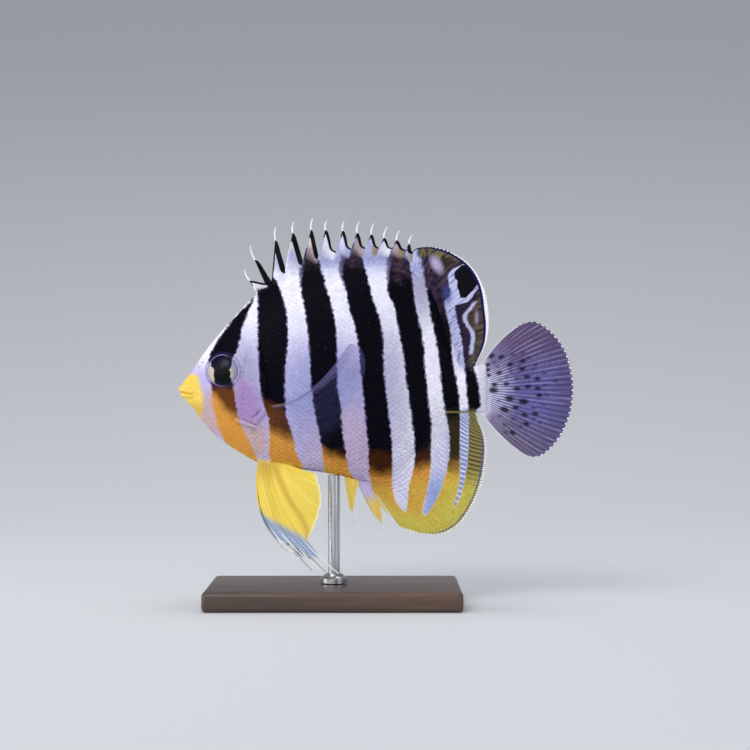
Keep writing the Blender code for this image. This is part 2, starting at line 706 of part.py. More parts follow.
def make_stand(skin, base_finish, rod_finish):
    bpy.ops.mesh.primitive_cube_add(size=1)
    base = bpy.context.object
    base.name = base.data.name = "stand_base"
    base.scale = (BASE_SIZE[0] * MM, BASE_SIZE[1] * MM, BASE_SIZE[2] * MM)
    base.location = ((ROD_X - TOTAL_LENGTH / 2) * MM, 0, BASE_SIZE[2] / 2 * MM)
    bpy.ops.object.transform_apply(location=False, rotation=False, scale=True)
    corners = base.modifiers.new("Corners", "BEVEL")
    corners.limit_method = "ANGLE"
    corners.width = BASE_BEVEL * MM
    corners.segments = 3
    base.data.materials.append(base_finish)
    bottom = BASE_SIZE[2] - SNOUT_HEIGHT + GAP
    rod = spike("stand_rod", [(ROD_X, 0, bottom), (ROD_X, 0, ROD_TOP)], [ROD_RADIUS] * 2, 20)
    cut(rod, [skin], keep=True)
    rod.data.materials.append(rod_finish)
    path = [(ROD_X, 0, bottom + height) for height in (0, COLLAR_STRAIGHT, COLLAR_HEIGHT)]
    foot = spike("stand_collar", path, (COLLAR_RADIUS, COLLAR_RADIUS, COLLAR_TOP_RADIUS), 20)
    hole = spike("hole", [(ROD_X, 0, bottom - 2), (ROD_X, 0, bottom + 5)], [ROD_RADIUS + GAP] * 2, 20)
    cut(foot, [hole])
    foot.data.materials.append(rod_finish)


def main():
    for old in list(bpy.data.objects):
        bpy.data.objects.remove(old)
    pale = paint("pale skin", (0.62, 0.56, 0.74), 0.45)
    dark = paint("barred skin", (0.55, 0.5, 0.68), 0.45)
    spiny = paint("spiny fin", (0.42, 0.38, 0.5), 0.5)
    yellow = paint("yellow fin", (0.85, 0.68, 0.1), 0.5)
    clear = paint("clear fin", (0.6, 0.6, 0.8), 0.4)
    grey = paint("tail fin", (0.25, 0.22, 0.36), 0.5)
    eye = paint("eye", (0.03, 0.03, 0.04), 0.1)
    wood = paint("base wood", (0.05, 0.04, 0.035), 0.35)
    steel = paint("rod steel", (0.6, 0.6, 0.6), 0.3, 1.0)

    skin = body_solid("skin", GAP)
    skin.hide_render = True
    skin.display_type = "WIRE"
    tree = make_head(dark)
    make_trunk(pale)
    make_tail_stalk(pale)
    for word, side in (("left", -1), ("right", 1)):
        make_gill_cover(f"gill_cover_{word}", side, pale)
        surface = ray_hit(tree, EYE_X, EYE_Z, side)
        eye_ball(f"eye_{word}", side, surface, 0.0, eye)
        make_pectoral_fin(f"pectoral_fin_{word}", side, tree, skin, clear)
        make_pelvic_fin(f"pelvic_fin_{word}", side, PELVIC_SWING[word], skin, yellow)
    make_dorsal_spines(skin, spiny)
    make_dorsal_soft(skin, spiny)
    make_anal_fin(skin, yellow)
    make_tail_fin(skin, grey)
    make_stand(skin, wood, steel)
    discard([skin])


main()
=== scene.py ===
import math

import bmesh
import bpy
import numpy as np
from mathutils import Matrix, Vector
from mathutils.bvhtree import BVHTree


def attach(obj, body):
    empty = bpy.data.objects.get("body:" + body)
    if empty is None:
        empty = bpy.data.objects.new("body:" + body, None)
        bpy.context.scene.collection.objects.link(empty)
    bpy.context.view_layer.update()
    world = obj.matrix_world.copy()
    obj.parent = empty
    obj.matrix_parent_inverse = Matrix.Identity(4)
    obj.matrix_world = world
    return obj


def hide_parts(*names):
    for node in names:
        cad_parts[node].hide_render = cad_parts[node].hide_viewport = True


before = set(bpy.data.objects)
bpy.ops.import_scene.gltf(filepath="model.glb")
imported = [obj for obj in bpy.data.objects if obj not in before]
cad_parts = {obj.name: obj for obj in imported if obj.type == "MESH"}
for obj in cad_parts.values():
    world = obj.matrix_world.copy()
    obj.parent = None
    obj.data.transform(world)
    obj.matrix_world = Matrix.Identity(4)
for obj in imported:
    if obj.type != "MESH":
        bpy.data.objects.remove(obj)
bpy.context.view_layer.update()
print("frame loaded:", len(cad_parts), "nodes")

# The fish is drawn in millimetres: x runs back from the snout, z up from the snout's level, and its
# left side is at -y. inRoom() turns that into metres above the floor.
mm = 0.001
fishLength = 100.0
snoutHeight = 54.5
flanks = (("Left", -1), ("Right", 1))


def inRoom(points):
    points = np.asarray(points, dtype=float).reshape(-1, 3)
    return (points + np.array([-fishLength / 2, 0.0, snoutHeight])) * mm


def newObject(name, data):
    obj = bpy.data.objects.new(name, data)
    bpy.context.scene.collection.objects.link(obj)
    return obj


def newMesh(name, points, faces):
    mesh = bpy.data.meshes.new(name)
    mesh.from_pydata(inRoom(points).tolist(), [], [[int(i) for i in face] for face in faces])
    mesh.update()
    mesh.shade_smooth()
    return newObject(name, mesh)


def faceOutward(obj, merge=0.0, bevel=0.0, segments=3):
    # turns the faces outward; before that it can merge points that meet and round sharp edges
    bm = bmesh.new()
    bm.from_mesh(obj.data)
    if merge:
        bmesh.ops.remove_doubles(bm, verts=bm.verts, dist=merge)
    if bevel:
        sharp = [e for e in bm.edges if len(e.link_faces) == 2 and e.calc_face_angle() > 0.6]
        bmesh.ops.bevel(bm, geom=sharp, offset=bevel * mm, segments=segments, affect="EDGES", profile=0.5)
    bmesh.ops.recalc_face_normals(bm, faces=bm.faces)
    bm.to_mesh(obj.data)
    bm.free()


def cornerPoints(obj):
    # which point each face corner stands on
    index = np.empty(len(obj.data.loops), dtype=np.int32)
    obj.data.loops.foreach_get("vertex_index", index)
    return index


def writeValues(mesh, values):
    # one attribute for each entry, a number or a vector for every point
    for label, value in values.items():
        value = np.asarray(value, dtype=np.float32)
        kind, field = ("FLOAT_VECTOR", "vector") if value.ndim == 2 else ("FLOAT", "value")
        mesh.attributes.new(label, kind, "POINT").data.foreach_set(field, value.ravel())


def unit(vectors):
    return vectors / np.maximum(np.linalg.norm(vectors, axis=-1, keepdims=True), 1e-9)


def arcLength(points):
    return np.concatenate([[0], np.cumsum(np.linalg.norm(np.diff(points, axis=0), axis=1))])


def easeKnots(knots, at):
    # a smooth curve through equally spaced knots, for an array of places counted in knots
    knots = np.asarray(knots, dtype=float)
    at = np.clip(np.asarray(at, dtype=float), 0, len(knots) - 1)
    i = np.minimum(at.astype(int), len(knots) - 2)
    t = (at - i)[..., None]
    a = knots[np.maximum(i - 1, 0)]
    b = knots[i]
    c = knots[i + 1]
    d = knots[np.minimum(i + 2, len(knots) - 1)]
    return 0.5 * (2 * b + (c - a) * t + (2 * a - 5 * b + 4 * c - d) * t**2 + (3 * b - a - 3 * c + d) * t**3)


def alongLine(points, at):
    # places at fractions of the length of a smooth line through the points
    fine = easeKnots(points, np.linspace(0, len(points) - 1, 600))
    steps = arcLength(fine)
    wanted = np.asarray(at, dtype=float) * steps[-1]
    return np.stack([np.interp(wanted, steps, fine[:, k]) for k in range(fine.shape[1])], axis=-1)


def easeStep(value, low, high):
    t = np.clip((value - low) / (high - low), 0, 1)
    return t * t * (3 - 2 * t)


def gridFaces(rows, columns, wrap=False):
    # quads of a grid of points counted row by row; wrap joins the last column to the first
    across = np.arange(columns if wrap else columns - 1)
    down = np.arange(rows - 1)
    r, c = np.meshgrid(down, across, indexing="ij")
    after = (c + 1) % columns
    return np.stack([r * columns + c, (r + 1) * columns + c, (r + 1) * columns + after,
                     r * columns + after], -1).reshape(-1, 4)


# Small helpers for node trees


class Flow:
    # a node's output that takes part in a sum as a number does
    def __init__(self, socket):
        self.socket = socket

    def __add__(self, other):
        return calc("ADD", self, other)

    def __sub__(self, other):
        return calc("SUBTRACT", self, other)

    def __rsub__(self, other):
        return calc("SUBTRACT", other, self)

    def __mul__(self, other):
        return calc("MULTIPLY", self, other)

    def __truediv__(self, other):
        return calc("DIVIDE", self, other)


def feed(socket, value):
    if isinstance(value, Flow):
        socket.id_data.links.new(value.socket, socket)
    else:
        socket.default_value = value


def wired(kind, inputs, output=0, tree=None, **settings):
    # a node with its settings and inputs, in the tree that its inputs come from if none is named
    tree = tree or next(value.socket.id_data for value in inputs.values() if isinstance(value, Flow))
    node = tree.nodes.new(kind)
    for label, value in settings.items():
        setattr(node, label, value)
    for label, value in inputs.items():
        feed(node.inputs[label], value)
    return Flow(node.outputs[output])


def newGroup(name, takes, gives, kind="ShaderNodeTree"):
    tree = bpy.data.node_groups.new(name, kind)
    for label, socketKind, start in takes:
        socket = tree.interface.new_socket(label, in_out="INPUT", socket_type="NodeSocket" + socketKind)
        if start is not None:
            socket.default_value = start
    for label, socketKind in gives:
        tree.interface.new_socket(label, in_out="OUTPUT", socket_type="NodeSocket" + socketKind)
    inputs = tree.nodes.new("NodeGroupInput").outputs
    return tree, {socket.name: Flow(socket) for socket in inputs}, tree.nodes.new("NodeGroupOutput").inputs


def calc(operation, *values):
    return wired("ShaderNodeMath", dict(enumerate(values)), operation=operation)


def ramp(value, low, high, toLow=0.0, toHigh=1.0, style="SMOOTHSTEP"):
    inputs = dict(enumerate((value, low, high, toLow, toHigh)))
    return wired("ShaderNodeMapRange", inputs, interpolation_type=style)


def mix(under, amount, over, style="MIX"):
    inputs = {"Factor": amount, "A": under, "B": over}
    return wired("ShaderNodeMix", inputs, "Result", data_type="RGBA", blend_type=style)


def layered(colour, *layers):
    # lays each (amount, colour) pair over what is there so far
    for amount, over in layers:
        colour = mix(colour, amount, over)
    return colour


def cloud(place, scale, detail=2.0, roughness=0.5):
    inputs = {"Vector": place, "Scale": scale, "Detail": detail, "Roughness": roughness}
    return wired("ShaderNodeTexNoise", inputs, "Fac")


def split(vector):
    node = wired("ShaderNodeSeparateXYZ", {0: vector}).socket.node
    return [Flow(socket) for socket in node.outputs]


def gathered(*values):
    return wired("ShaderNodeCombineXYZ", dict(enumerate(values)))


def stretched(place, scale):
    return wired("ShaderNodeMapping", {"Vector": place, "Scale": scale})


def drawn(value, points, span, results):
    # a curve drawn through (value, result) pairs; span and results are the reach of both
    (low, high), (toLow, toHigh) = span, results
    result = wired("ShaderNodeFloatCurve", {"Value": ramp(value, low, high, 0.0, 1.0, "LINEAR")})
    node = result.socket.node
    line = node.mapping.curves[0]
    knots = [((a - low) / (high - low), (b - toLow) / (toHigh - toLow)) for a, b in sorted(points)]
    line.points[0].location = knots[0]
    line.points[1].location = knots[-1]
    for knot in knots[1:-1]:
        line.points.new(*knot)
    for point in line.points:
        point.handle_type = "AUTO_CLAMPED"
    node.mapping.extend = "HORIZONTAL"
    node.mapping.update()
    return ramp(result, 0.0, 1.0, toLow, toHigh, "LINEAR")


heightSpan = (-50.0, 50.0)
lengthSpan = (0.0, 100.0)


def xAt(z, points):
    # a line that runs down the fish, as (z, x) pairs
    return drawn(z, points, heightSpan, lengthSpan)


def zAt(x, points):
    # a line that runs along the fish, as (x, z) pairs
    return drawn(x, points, lengthSpan, heightSpan)


def splitPlace(place):
    # the fish's own x and z in millimetres from a place in the room in metres
    x, y, z = split(place)
    return x * (1 / mm) + fishLength / 2, z * (1 / mm) - snoutHeight


# where a viewer stands: level with this place on the fish, and this far to its side
viewer = {"x": 49.6, "z": 3.45, "away": 0.52875}


def seenPlace(place):
    # x and z as the viewer reads them against the fish's middle plane, past the fullness of its flank
    nearer = calc("ABSOLUTE", split(place)[1]) * (1 / viewer["away"]) + 1.0
    x, z = splitPlace(place)
    return (x - viewer["x"]) * nearer + viewer["x"], (z - viewer["z"]) * nearer + viewer["z"]


def fromCentre(x, z, centre):
    # the distance from a centre, and the steps back and up that it is made of
    dx, dz = x - centre[0], z - centre[1]
    return calc("SQRT", dx * dx + dz * dz), dx, dz


def oval(x, z, centre, radii, turn=0.0, soft=0.15):
    # 1 inside a turned oval and 0 outside it
    a, b = math.cos(math.radians(turn)), math.sin(math.radians(turn))
    dx, dz = x - centre[0], z - centre[1]
    along, across = (dx * a + dz * b) * (1 / radii[0]), (dz * a - dx * b) * (1 / radii[1])
    return ramp(calc("SQRT", along * along + across * across), 1 + soft, 1 - soft)


def most(*values):
    result = values[0]
    for value in values[1:]:
        result = calc("MAXIMUM", result, value)
    return result


def stroke(value, centre, width, soft=0.25):
    # 1 within half a width of a line
    away = calc("ABSOLUTE", value - centre)
    return ramp(away, width / 2 + soft / 2, max(width / 2 - soft / 2, 0.0))


def rungs(s, count, low=0.0, high=0.8):
    # 1 on each of a number of even lines across a fin
    return ramp(calc("SINE", s * (2 * math.pi * count)), low, high)


def within(value, low, high, soft=0.5):
    return ramp(value, low - soft, low + soft) * ramp(value, high + soft, high - soft)


def tint(*screen):
    # a colour as a screen shows it, 0 to 255, as the linear colour that a shader takes
    shares = [c / 255 for c in screen]
    return tuple(c / 12.92 if c <= 0.04 else ((c + 0.055) / 1.055) ** 2.4 for c in shares) + (1.0,)


# The markings that skin, scales and fin webs share. A bar is its front and its rear edge, as (z, x) pairs.
markings = {
    "bars": (
        (((22.1, 18.2), (18.3, 14.3), (13.7, 10.8), (9.9, 8.5), (6.9, 7.5), (0.8, 8.2), (-2.8, 8.3),
          (-7.9, 9.3), (-12.0, 10.8), (-14.0, 12.0), (-16.0, 13.0), (-18.8, 14.5)),
         ((22.1, 18.4), (18.0, 16.6), (14.7, 15.4), (9.4, 14.3), (7.4, 13.1), (-0.3, 13.6), (-4.8, 14.3),
          (-9.1, 15.4), (-15.0, 18.2), (-18.8, 19.6))),
        (((27.5, 19.0), (23.3, 19.9), (12.4, 20.0), (2.3, 20.4), (-3.3, 21.2), (-7.9, 22.7), (-18.0, 23.0),
          (-22.0, 23.4)),
         ((29.5, 22.8), (26.9, 24.5), (21.3, 26.4), (13.7, 27.3), (5.0, 26.6), (-2.8, 26.5), (-8.4, 27.3),
          (-12.2, 28.6), (-16.8, 29.6), (-19.5, 31.0))),
        (((34.0, 31.3), (27.7, 30.8), (21.3, 31.6), (15.0, 32.6), (8.6, 33.1), (-2.8, 33.9), (-7.9, 34.9),
          (-12.9, 35.9), (-20.6, 36.8)),
         ((34.0, 34.4), (30.2, 35.7), (22.6, 37.9), (17.5, 39.1), (9.9, 39.7), (2.3, 39.7), (-5.3, 40.7),
          (-10.4, 41.0), (-15.5, 41.8), (-20.6, 42.8), (-24.4, 45.0))),
        (((34.0, 41.4), (29.7, 41.0), (25.1, 42.3), (20.0, 43.3), (15.0, 44.8), (9.9, 45.6), (-2.8, 46.8),
          (-12.9, 47.8), (-25.6, 48.9), (-29.0, 51.0)),
         ((34.0, 45.9), (27.7, 47.6), (22.6, 48.9), (17.5, 50.6), (12.4, 51.4), (4.8, 51.6), (-5.3, 52.7),
          (-15.5, 53.7), (-23.1, 53.7), (-28.2, 54.4), (-31.5, 56.9), (-35.0, 60.0))),
        (((34.0, 53.2), (25.1, 52.9), (21.3, 54.4), (16.2, 55.5), (9.9, 56.7), (-0.3, 58.0), (-5.3, 58.8),
          (-16.2, 59.8), (-25.6, 58.2), (-30.7, 57.6), (-35.0, 56.0)),
         ((34.0, 57.4), (27.7, 58.8), (22.6, 59.3), (17.5, 60.5), (12.4, 61.5), (6.1, 62.0), (-0.3, 62.6),
          (-10.4, 63.6), (-18.0, 63.6), (-25.6, 62.6), (-30.7, 61.4), (-33.5, 63.0))),
        (((34.0, 61.2), (25.1, 62.8), (20.0, 63.6), (9.9, 65.6), (2.3, 66.4), (-6.1, 67.6), (-12.4, 68.6),
          (-20.6, 67.9), (-29.4, 64.6), (-33.5, 61.6)),
         ((36.0, 74.0), (32.2, 72.4), (30.8, 70.0), (29.9, 68.5), (28.2, 67.8), (26.0, 68.2), (24.0, 68.5),
          (21.8, 67.0), (19.0, 67.4), (14.0, 68.6), (8.6, 68.9), (-0.3, 70.4), (-6.6, 70.9), (-12.9, 70.9),
          (-22.6, 70.8), (-26.4, 70.2), (-30.6, 69.3), (-33.0, 71.0))),
        (((36.0, 84.0), (27.0, 77.4), (25.4, 75.9), (23.6, 74.6), (22.1, 73.3), (21.5, 71.5), (21.0, 69.9),
          (18.0, 70.4), (12.8, 71.5), (2.3, 72.7), (-7.9, 73.5), (-18.0, 73.2), (-24.4, 72.2),
          (-27.5, 71.3), (-30.6, 69.4), (-33.0, 66.0)),
         ((7.0, 84.0), (5.9, 74.2), (2.3, 75.3), (-0.3, 75.8), (-4.1, 76.0), (-6.0, 75.0), (-7.2, 84.0))),
    ),
    # where black turns brown, brown turns orange and orange turns yellow, as (x, z) pairs
    "blackEnds": ((0, 1.5), (11, 1.5), (16, 0.0), (24, -3.0), (30, -8.0), (36, -14.2), (48, -15.2),
                  (60, -15.2), (69, -7.0), (77, -6.0)),
    "brownEnds": ((0, -1.0), (8.5, -1.6), (10.5, -4.4), (13, -6.8), (18, -8.4), (26, -12.4), (38, -17.2),
                  (46, -20.6), (51, -22.4), (60, -20.6), (69, -18.4), (77, -19.0)),
    "orangeEnds": ((0, -14.0), (14, -15.8), (20, -18.6), (26, -18.9), (38, -21.0), (48, -25.6), (60, -28.0),
                   (69, -20.5), (77, -24.0)),
    "snoutEdge": ((5.0, 4.0), (3.3, 4.6), (0.0, 5.4), (-3.0, 6.0), (-6.6, 5.6), (-9.0, 4.8)),
    "black": tint(6, 5, 16),
    "darkBrown": tint(62, 30, 12),
    "headBrown": tint(98, 56, 24),
    "orange": tint(213, 149, 65),
    "yellow": tint(238, 204, 66),
    "snoutYellow": tint(242, 206, 94),
    "snoutShade": tint(214, 178, 86),
    "white": tint(236, 235, 252),
    "lavender": tint(190, 182, 224),
    "blueGrey": tint(164, 166, 214),
    "lilac": tint(188, 170, 202),
    "violet": tint(166, 138, 190),
    "rose": tint(196, 168, 172),
    # painted light: a brighter white for the hind flank, which curves away from the lamps
    "hindLitWhite": tint(240, 238, 254),
    # painted highlight: the rim light along the forehead's edge
    "browHighlight": tint(240, 236, 248),
    "fringe": tint(44, 34, 104),
    "fleck": tint(140, 130, 148),
    "topPlum": tint(52, 36, 60),
    "topBrown": tint(92, 74, 82),
    # a grey veil; at the soft back fin's root it is painted shade
    "mistAndShade": tint(160, 158, 190),
    "sky": tint(144, 152, 204),
    "tailRoot": tint(216, 214, 232),
    "bellyPaint": tint(244, 214, 106),
}
headDetail = {
    "eye": (11.4, 4.6),
    "rimRadius": 4.5,
    "rimHeight": 0.14,
    "rimWidth": 0.5,
    "socketRadius": 3.72,
    "socketDepth": (0.75, 1.6),
    "gillEdge": ((17.6, 26.0), (18.8, 17.0), (20.4, 10.5), (22.0, 4.0), (22.6, -2.0), (21.9, -6.4),
                 (19.6, -9.4), (17.6, -13.2), (16.6, -22.0)),
    "gillRise": 0.36,
    "gillGroove": 0.12,
    "cheekEdge": ((18.6, 10.5), (17.1, 7.0), (16.2, 3.0), (16.5, -2.0), (16.2, -5.5), (15.0, -7.6),
                  (12.6, -9.2)),
    "cheekRise": 0.05,
    "cheekGroove": 0.02,
    "upperLip": (0.42, 3.3, 2.1, -0.15, -1.1),
    "lowerLip": (0.95, 3.3, 1.95, -1.65, -1.75),
    "mouthLine": (0.45, 3.6, 2.25, -0.9, -1.45),
    "lipHeight": 0.5,
    "lipWidth": 0.95,
    "mouthDepth": 0.75,
    "mouthWidth": 0.34,
    "nostrils": ((5.0, 5.6), (6.0, 6.7)),
    "nostrilRadius": 0.3,
    "nostrilDepth": 0.4,
    "cheekSpine": ((14.6, -7.7), (20.9, -10.0)),
    "snoutEnd": 6,
    "end": 26,
    "bareAtLips": 1.5,
    "bareAtNostrils": 0.7,
}


def makeMarks():
    m = markings
    tree, takes, gives = newGroup(
        "fishMarks",
        (("Place", "Vector", None), ("Ragged", "Float", 0.35)),
        (("Colour", "Color"), ("Bar", "Float")),
    )
    x, z = seenPlace(takes["Place"])
    sway = cloud(takes["Place"], 900.0, 2.0) - 0.5
    patchy = cloud(takes["Place"], 420.0, 3.0) - 0.5
    raggedX = sway * takes["Ragged"] * 4.0 + x
    raggedZ = patchy * 3.2 + z
    # a bar's front edge is softer towards its top
    soft = ramp(z, 24.0, 32.0, 0.3, 0.9)
    bars = []
    for front, rear in m["bars"]:
        front, rear = xAt(z, front), xAt(z, rear)
        inFront = ramp((raggedX - front) / soft, -1.1, 0.9)
        behind = ramp(rear - raggedX, -0.55, 0.05)
        bars.append(inFront * behind)
    bar = most(*bars)

    # from black through brown and orange to yellow down a bar
    blackEnd = zAt(x, m["blackEnds"])
    brownEnd = zAt(x, m["brownEnds"])
    orangeEnd = zAt(x, m["orangeEnds"])
    brown = mix(m["headBrown"], ramp(x, 22.0, 32.0), m["darkBrown"])
    dark = mix(m["black"], ramp(blackEnd - raggedZ, -0.4, 2.2), brown)
    warm = mix(dark, ramp(brownEnd - raggedZ, -2.6, 1.6), m["orange"])
    gold = mix(warm, ramp(orangeEnd - raggedZ, -1.5, 2.5), m["yellow"])
    # the tops of the middle bars turn a mottled plum and end below the tips of the back fin
    mottled = patchy * 9.0 + z
    span = ramp(x, 29.0, 31.0) * ramp(x, 61.0, 58.0)
    top = mix(m["topPlum"], ramp(sway, -0.1, 0.3), m["topBrown"])
    low = zAt(x, ((29, 32.4), (36, 32.2), (42, 31.4), (48, 30.8), (53, 29.0), (60, 27.0)))
    barColour = mix(gold, span * ramp(mottled - low, -2.4, 4.2), top)
    bar = bar * (1 - span * ramp(mottled, 34.0, 36.2))

    # the pale ground between the bars
    ground = mix(m["white"], ramp(z, 22.0, 2.0), m["lavender"])
    ground = mix(ground, oval(x, z, (36.0, -1.0), (11.0, 11.0), 0, 0.6), m["blueGrey"])
    # behind the middle the ground turns white, and from x 56 on a brighter white that is painted light on
    # the hind flank
    ground = mix(ground, ramp(x, 48.0, 60.0), mix(m["white"], ramp(x, 56.0, 62.0), m["hindLitWhite"]))
    ground = mix(ground, oval(x, z, (43.0, -14.0), (9.0, 9.0), 20, 0.5), m["lilac"])
    # grey veils over the pale ground; the strongest, high at the soft back fin's root, is painted shade
    mistAndShade = most(oval(x, z, (54.5, 1.0), (4.2, 14.0), 8, 0.6) * 0.5,
                oval(x, z, (60.4, 28.0), (3.6, 10.0), 8, 0.6) * 0.85,
                oval(x, z, (17.4, 3.0), (3.4, 9.0), 8, 0.6) * 0.8)
    ground = layered(
        ground,
        (mistAndShade, m["mistAndShade"]),
        (ramp(z, 27.0, 33.0) * ramp(x, 24.0, 34.0) * 0.8, m["sky"]),
        (ramp(x, 74.8, 76.4), m["tailRoot"]),
        (oval(x, z, (16.5, -4.0), (4.5, 6.5), 20, 0.5), m["violet"]),
        (oval(x, z, (8.4, -6.0), (4.0, 8.0), -24, 0.5), m["rose"]),
        (oval(x, z, (18.6, -13.4), (4.0, 4.5), 0, 0.6), m["rose"]),
    )
    # the forehead before the first bar is painted white, a painted rim highlight along the head's edge
    browHighlight = xAt(z, ((0.0, 6.0), (6.0, 7.6), (12.0, 10.4), (18.0, 15.0), (22.0, 18.2)))
    ground = mix(ground, ramp(browHighlight - x, -0.8, 1.2) * ramp(z, 3.0, 9.0), m["browHighlight"])
    belly = ramp(raggedZ, -17.2, -19.4) * ramp(x, 16.0, 19.0) * ramp(x, 28.5, 25.5) * 0.8
    ground = mix(ground, belly, m["bellyPaint"])
    # a dark plum stroke at the gill cover's lower edge is painted shadow
    gillEdgeShadow = oval(raggedX, z, (19.4, -6.5), (1.6, 0.22), 48, 0.7)
    ground = mix(ground, gillEdgeShadow * 0.6, m["topPlum"])
    ringAway = fromCentre(*splitPlace(takes["Place"]), headDetail["eye"])[0]
    ringLine = stroke(ringAway, 4.5, 0.32, 0.3)

    colour = mix(ground, bar, barColour)
    edge = bar * (1.0 - bar) * ramp(raggedZ, blackEnd - 1.0, blackEnd)
    colour = mix(colour, edge * 2.2, m["fringe"])
    snoutEdge = xAt(z, m["snoutEdge"])
    snout = ramp(snoutEdge - raggedX, -0.5, 0.5) * ramp(z, 4.1, 3.1)
    colour = mix(colour, snout, mix(m["snoutYellow"], ramp(z, -2.5, -5.5), m["snoutShade"]))
    colour = mix(colour, ringLine * 0.45, m["fringe"])
    feed(gives["Colour"], colour)
    feed(gives["Bar"], bar)
    return tree


fishMarks = makeMarks()
print("markings ready")


# short words for the shader's own names
sheenWords = {"rough": "Roughness", "specular": "Specular IOR Level", "coat": "Coat Weight",
              "coatRough": "Coat Roughness", "metal": "Metallic"}
finSheen = {"specular": 0.1, "coat": 0.02, "coatRough": 0.25}


def newFinish(name, rough=0.4, **sheen):
    material = bpy.data.materials.new(name)
    material.use_nodes = True
    shader = material.node_tree.nodes["Principled BSDF"]
    for word, value in dict(sheen, rough=rough).items():
        shader.inputs[sheenWords[word]].default_value = value
    return material, material.node_tree, shader


def placed(tree):
    return wired("ShaderNodeTexCoord", {}, "Object", tree)


def attribute(tree, label, output="Vector"):
    return wired("ShaderNodeAttribute", {}, output, tree, attribute_name=label)


def useGroup(group, **values):
    node = wired("ShaderNodeGroup", values, node_tree=group).socket.node
    return {socket.name: Flow(socket) for socket in node.outputs}


def bumped(shader, height, strength, depth):
    inputs = {"Strength": strength, "Distance": depth, "Height": height}
    feed(shader.inputs["Normal"], wired("ShaderNodeBump", inputs, "Normal"))


def skinFinish():
    material, tree, shader = newFinish("wetSkin", 0.45, specular=0.1, coat=0.02, coatRough=0.2)
    place = placed(tree)
    marks = useGroup(fishMarks, Place=place)
    mottled = ramp(cloud(place, 1600.0, 3.0), 0.35, 0.65, 0.9, 1.05)
    feed(shader.inputs["Base Color"], mix(marks["Colour"], 1.0, mottled, "MULTIPLY"))
    bumped(shader, cloud(place, 2600.0, 2.0), 0.25, 0.0001)
    return material


def scaleFinish():
    material, tree, shader = newFinish("scales", 0.42, specular=0.04)
    place = attribute(tree, "scalePlace")
    tone = attribute(tree, "scaleTone", "Fac")
    marks = useGroup(fishMarks, Place=place, Ragged=0.3)
    colour = mix(marks["Colour"], 1.0, ramp(tone, 0.0, 1.0, 0.92, 1.05, "LINEAR"), "MULTIPLY")
    # pale flecks lie scattered in the dark bars
    fleck = ramp(cloud(place, 2400.0, 1.0), 0.745, 0.8)
    fleck = fleck * marks["Bar"] * ramp(splitPlace(place)[1], -8.0, 0.0) * 0.28
    feed(shader.inputs["Base Color"], mix(colour, fleck, markings["fleck"]))
    return material


wetSkin = skinFinish()
scaleSheen = scaleFinish()

# The body. A rib is the widest point's x and z, the half width there, the back's x and z and the
# belly's x and z. The last rib runs out over the tail fin's root.
bodyShape = {
    "ribs": (
        (0.0, -0.2, 0.0, 0.0, -0.2, 0.0, -0.2),
        (0.5, -0.3, 0.9, 0.4, 0.8, 0.5, -1.6),
        (1.6, -0.4, 1.6, 1.4, 2.3, 1.8, -3.3),
        (3.8, -0.4, 2.7, 3.3, 4.7, 3.9, -5.7),
        (7.0, -0.2, 4.3, 6.3, 9.3, 7.0, -9.8),
        (11.5, 0.4, 6.0, 10.6, 14.6, 11.6, -13.8),
        (17.0, 1.5, 7.4, 16.4, 21.0, 17.4, -17.5),
        (23.0, 2.5, 8.2, 22.4, 26.0, 23.2, -19.8),
        (31.0, 3.5, 8.6, 30.6, 29.9, 31.5, -20.6),
        (40.0, 4.2, 8.3, 40.5, 32.1, 40.2, -21.9),
        (48.5, 4.2, 7.3, 50.5, 32.8, 48.5, -23.6),
        (56.0, 3.2, 5.8, 58.8, 31.4, 55.5, -21.4),
        (61.5, 1.8, 4.5, 64.4, 25.4, 61.6, -15.0),
        (65.5, 0.8, 3.5, 68.0, 14.0, 66.4, -8.0),
        (69.0, 0.2, 2.8, 70.9, 6.4, 69.6, -5.9),
        (73.0, 0.0, 2.2, 74.3, 5.7, 74.0, -5.8),
        (77.3, 0.0, 1.5, 77.3, 6.4, 77.3, -6.4),
        (78.9, 0.0, 0.1, 77.7, 6.2, 77.7, -6.4),
    ),
    "backSharpness": 1.45,
    "bellySharpness": 1.2,
    "snoutRibs": 7,
    "tip": (0.0, 0.0, -0.75),
    "sides": 288,
    "coatDepth": 0.12,
    "steps": ((0.0, 0.1), (4.0, 0.12), (7.0, 0.24), (24.0, 0.26), (30.0, 0.42), (81.0, 0.42)),
}


def allStations(count):
    # places from the first rib to the last, counted in ribs
    return np.linspace(0, len(bodyShape["ribs"]) - 1, count)


def bodyPoint(station, angle):
    rib = easeKnots(bodyShape["ribs"], station)
    height = np.cos(angle)
    side = np.sin(angle)
    up = height > 0
    rimX = np.where(up, rib[..., 3], rib[..., 5])
    rimZ = np.where(up, rib[..., 4], rib[..., 6])
    sharp = np.where(up, bodyShape["backSharpness"], bodyShape["bellySharpness"])
    sharp = 1 + (sharp - 1) * np.minimum(station / bodyShape["snoutRibs"], 1)
    across = np.sign(side) * np.abs(side) ** sharp * rib[..., 2]
    reach = np.abs(height)
    x = rib[..., 0] + (rimX - rib[..., 0]) * reach
    z = rib[..., 1] + (rimZ - rib[..., 1]) * reach
    return np.stack([x, -across, z], -1)


def skinStations():
    # stations close together at the snout and wider apart on the flank
    fine = allStations(4000)
    axis = easeKnots(bodyShape["ribs"], fine)[:, 0]
    places, stepSizes = zip(*bodyShape["steps"])
    x = 0.06
    wanted = []
    while x < axis[-1]:
        wanted.append(x)
        x += float(np.interp(x, places, stepSizes))
    wanted.append(axis[-1])
    return np.interp(wanted, axis, fine)


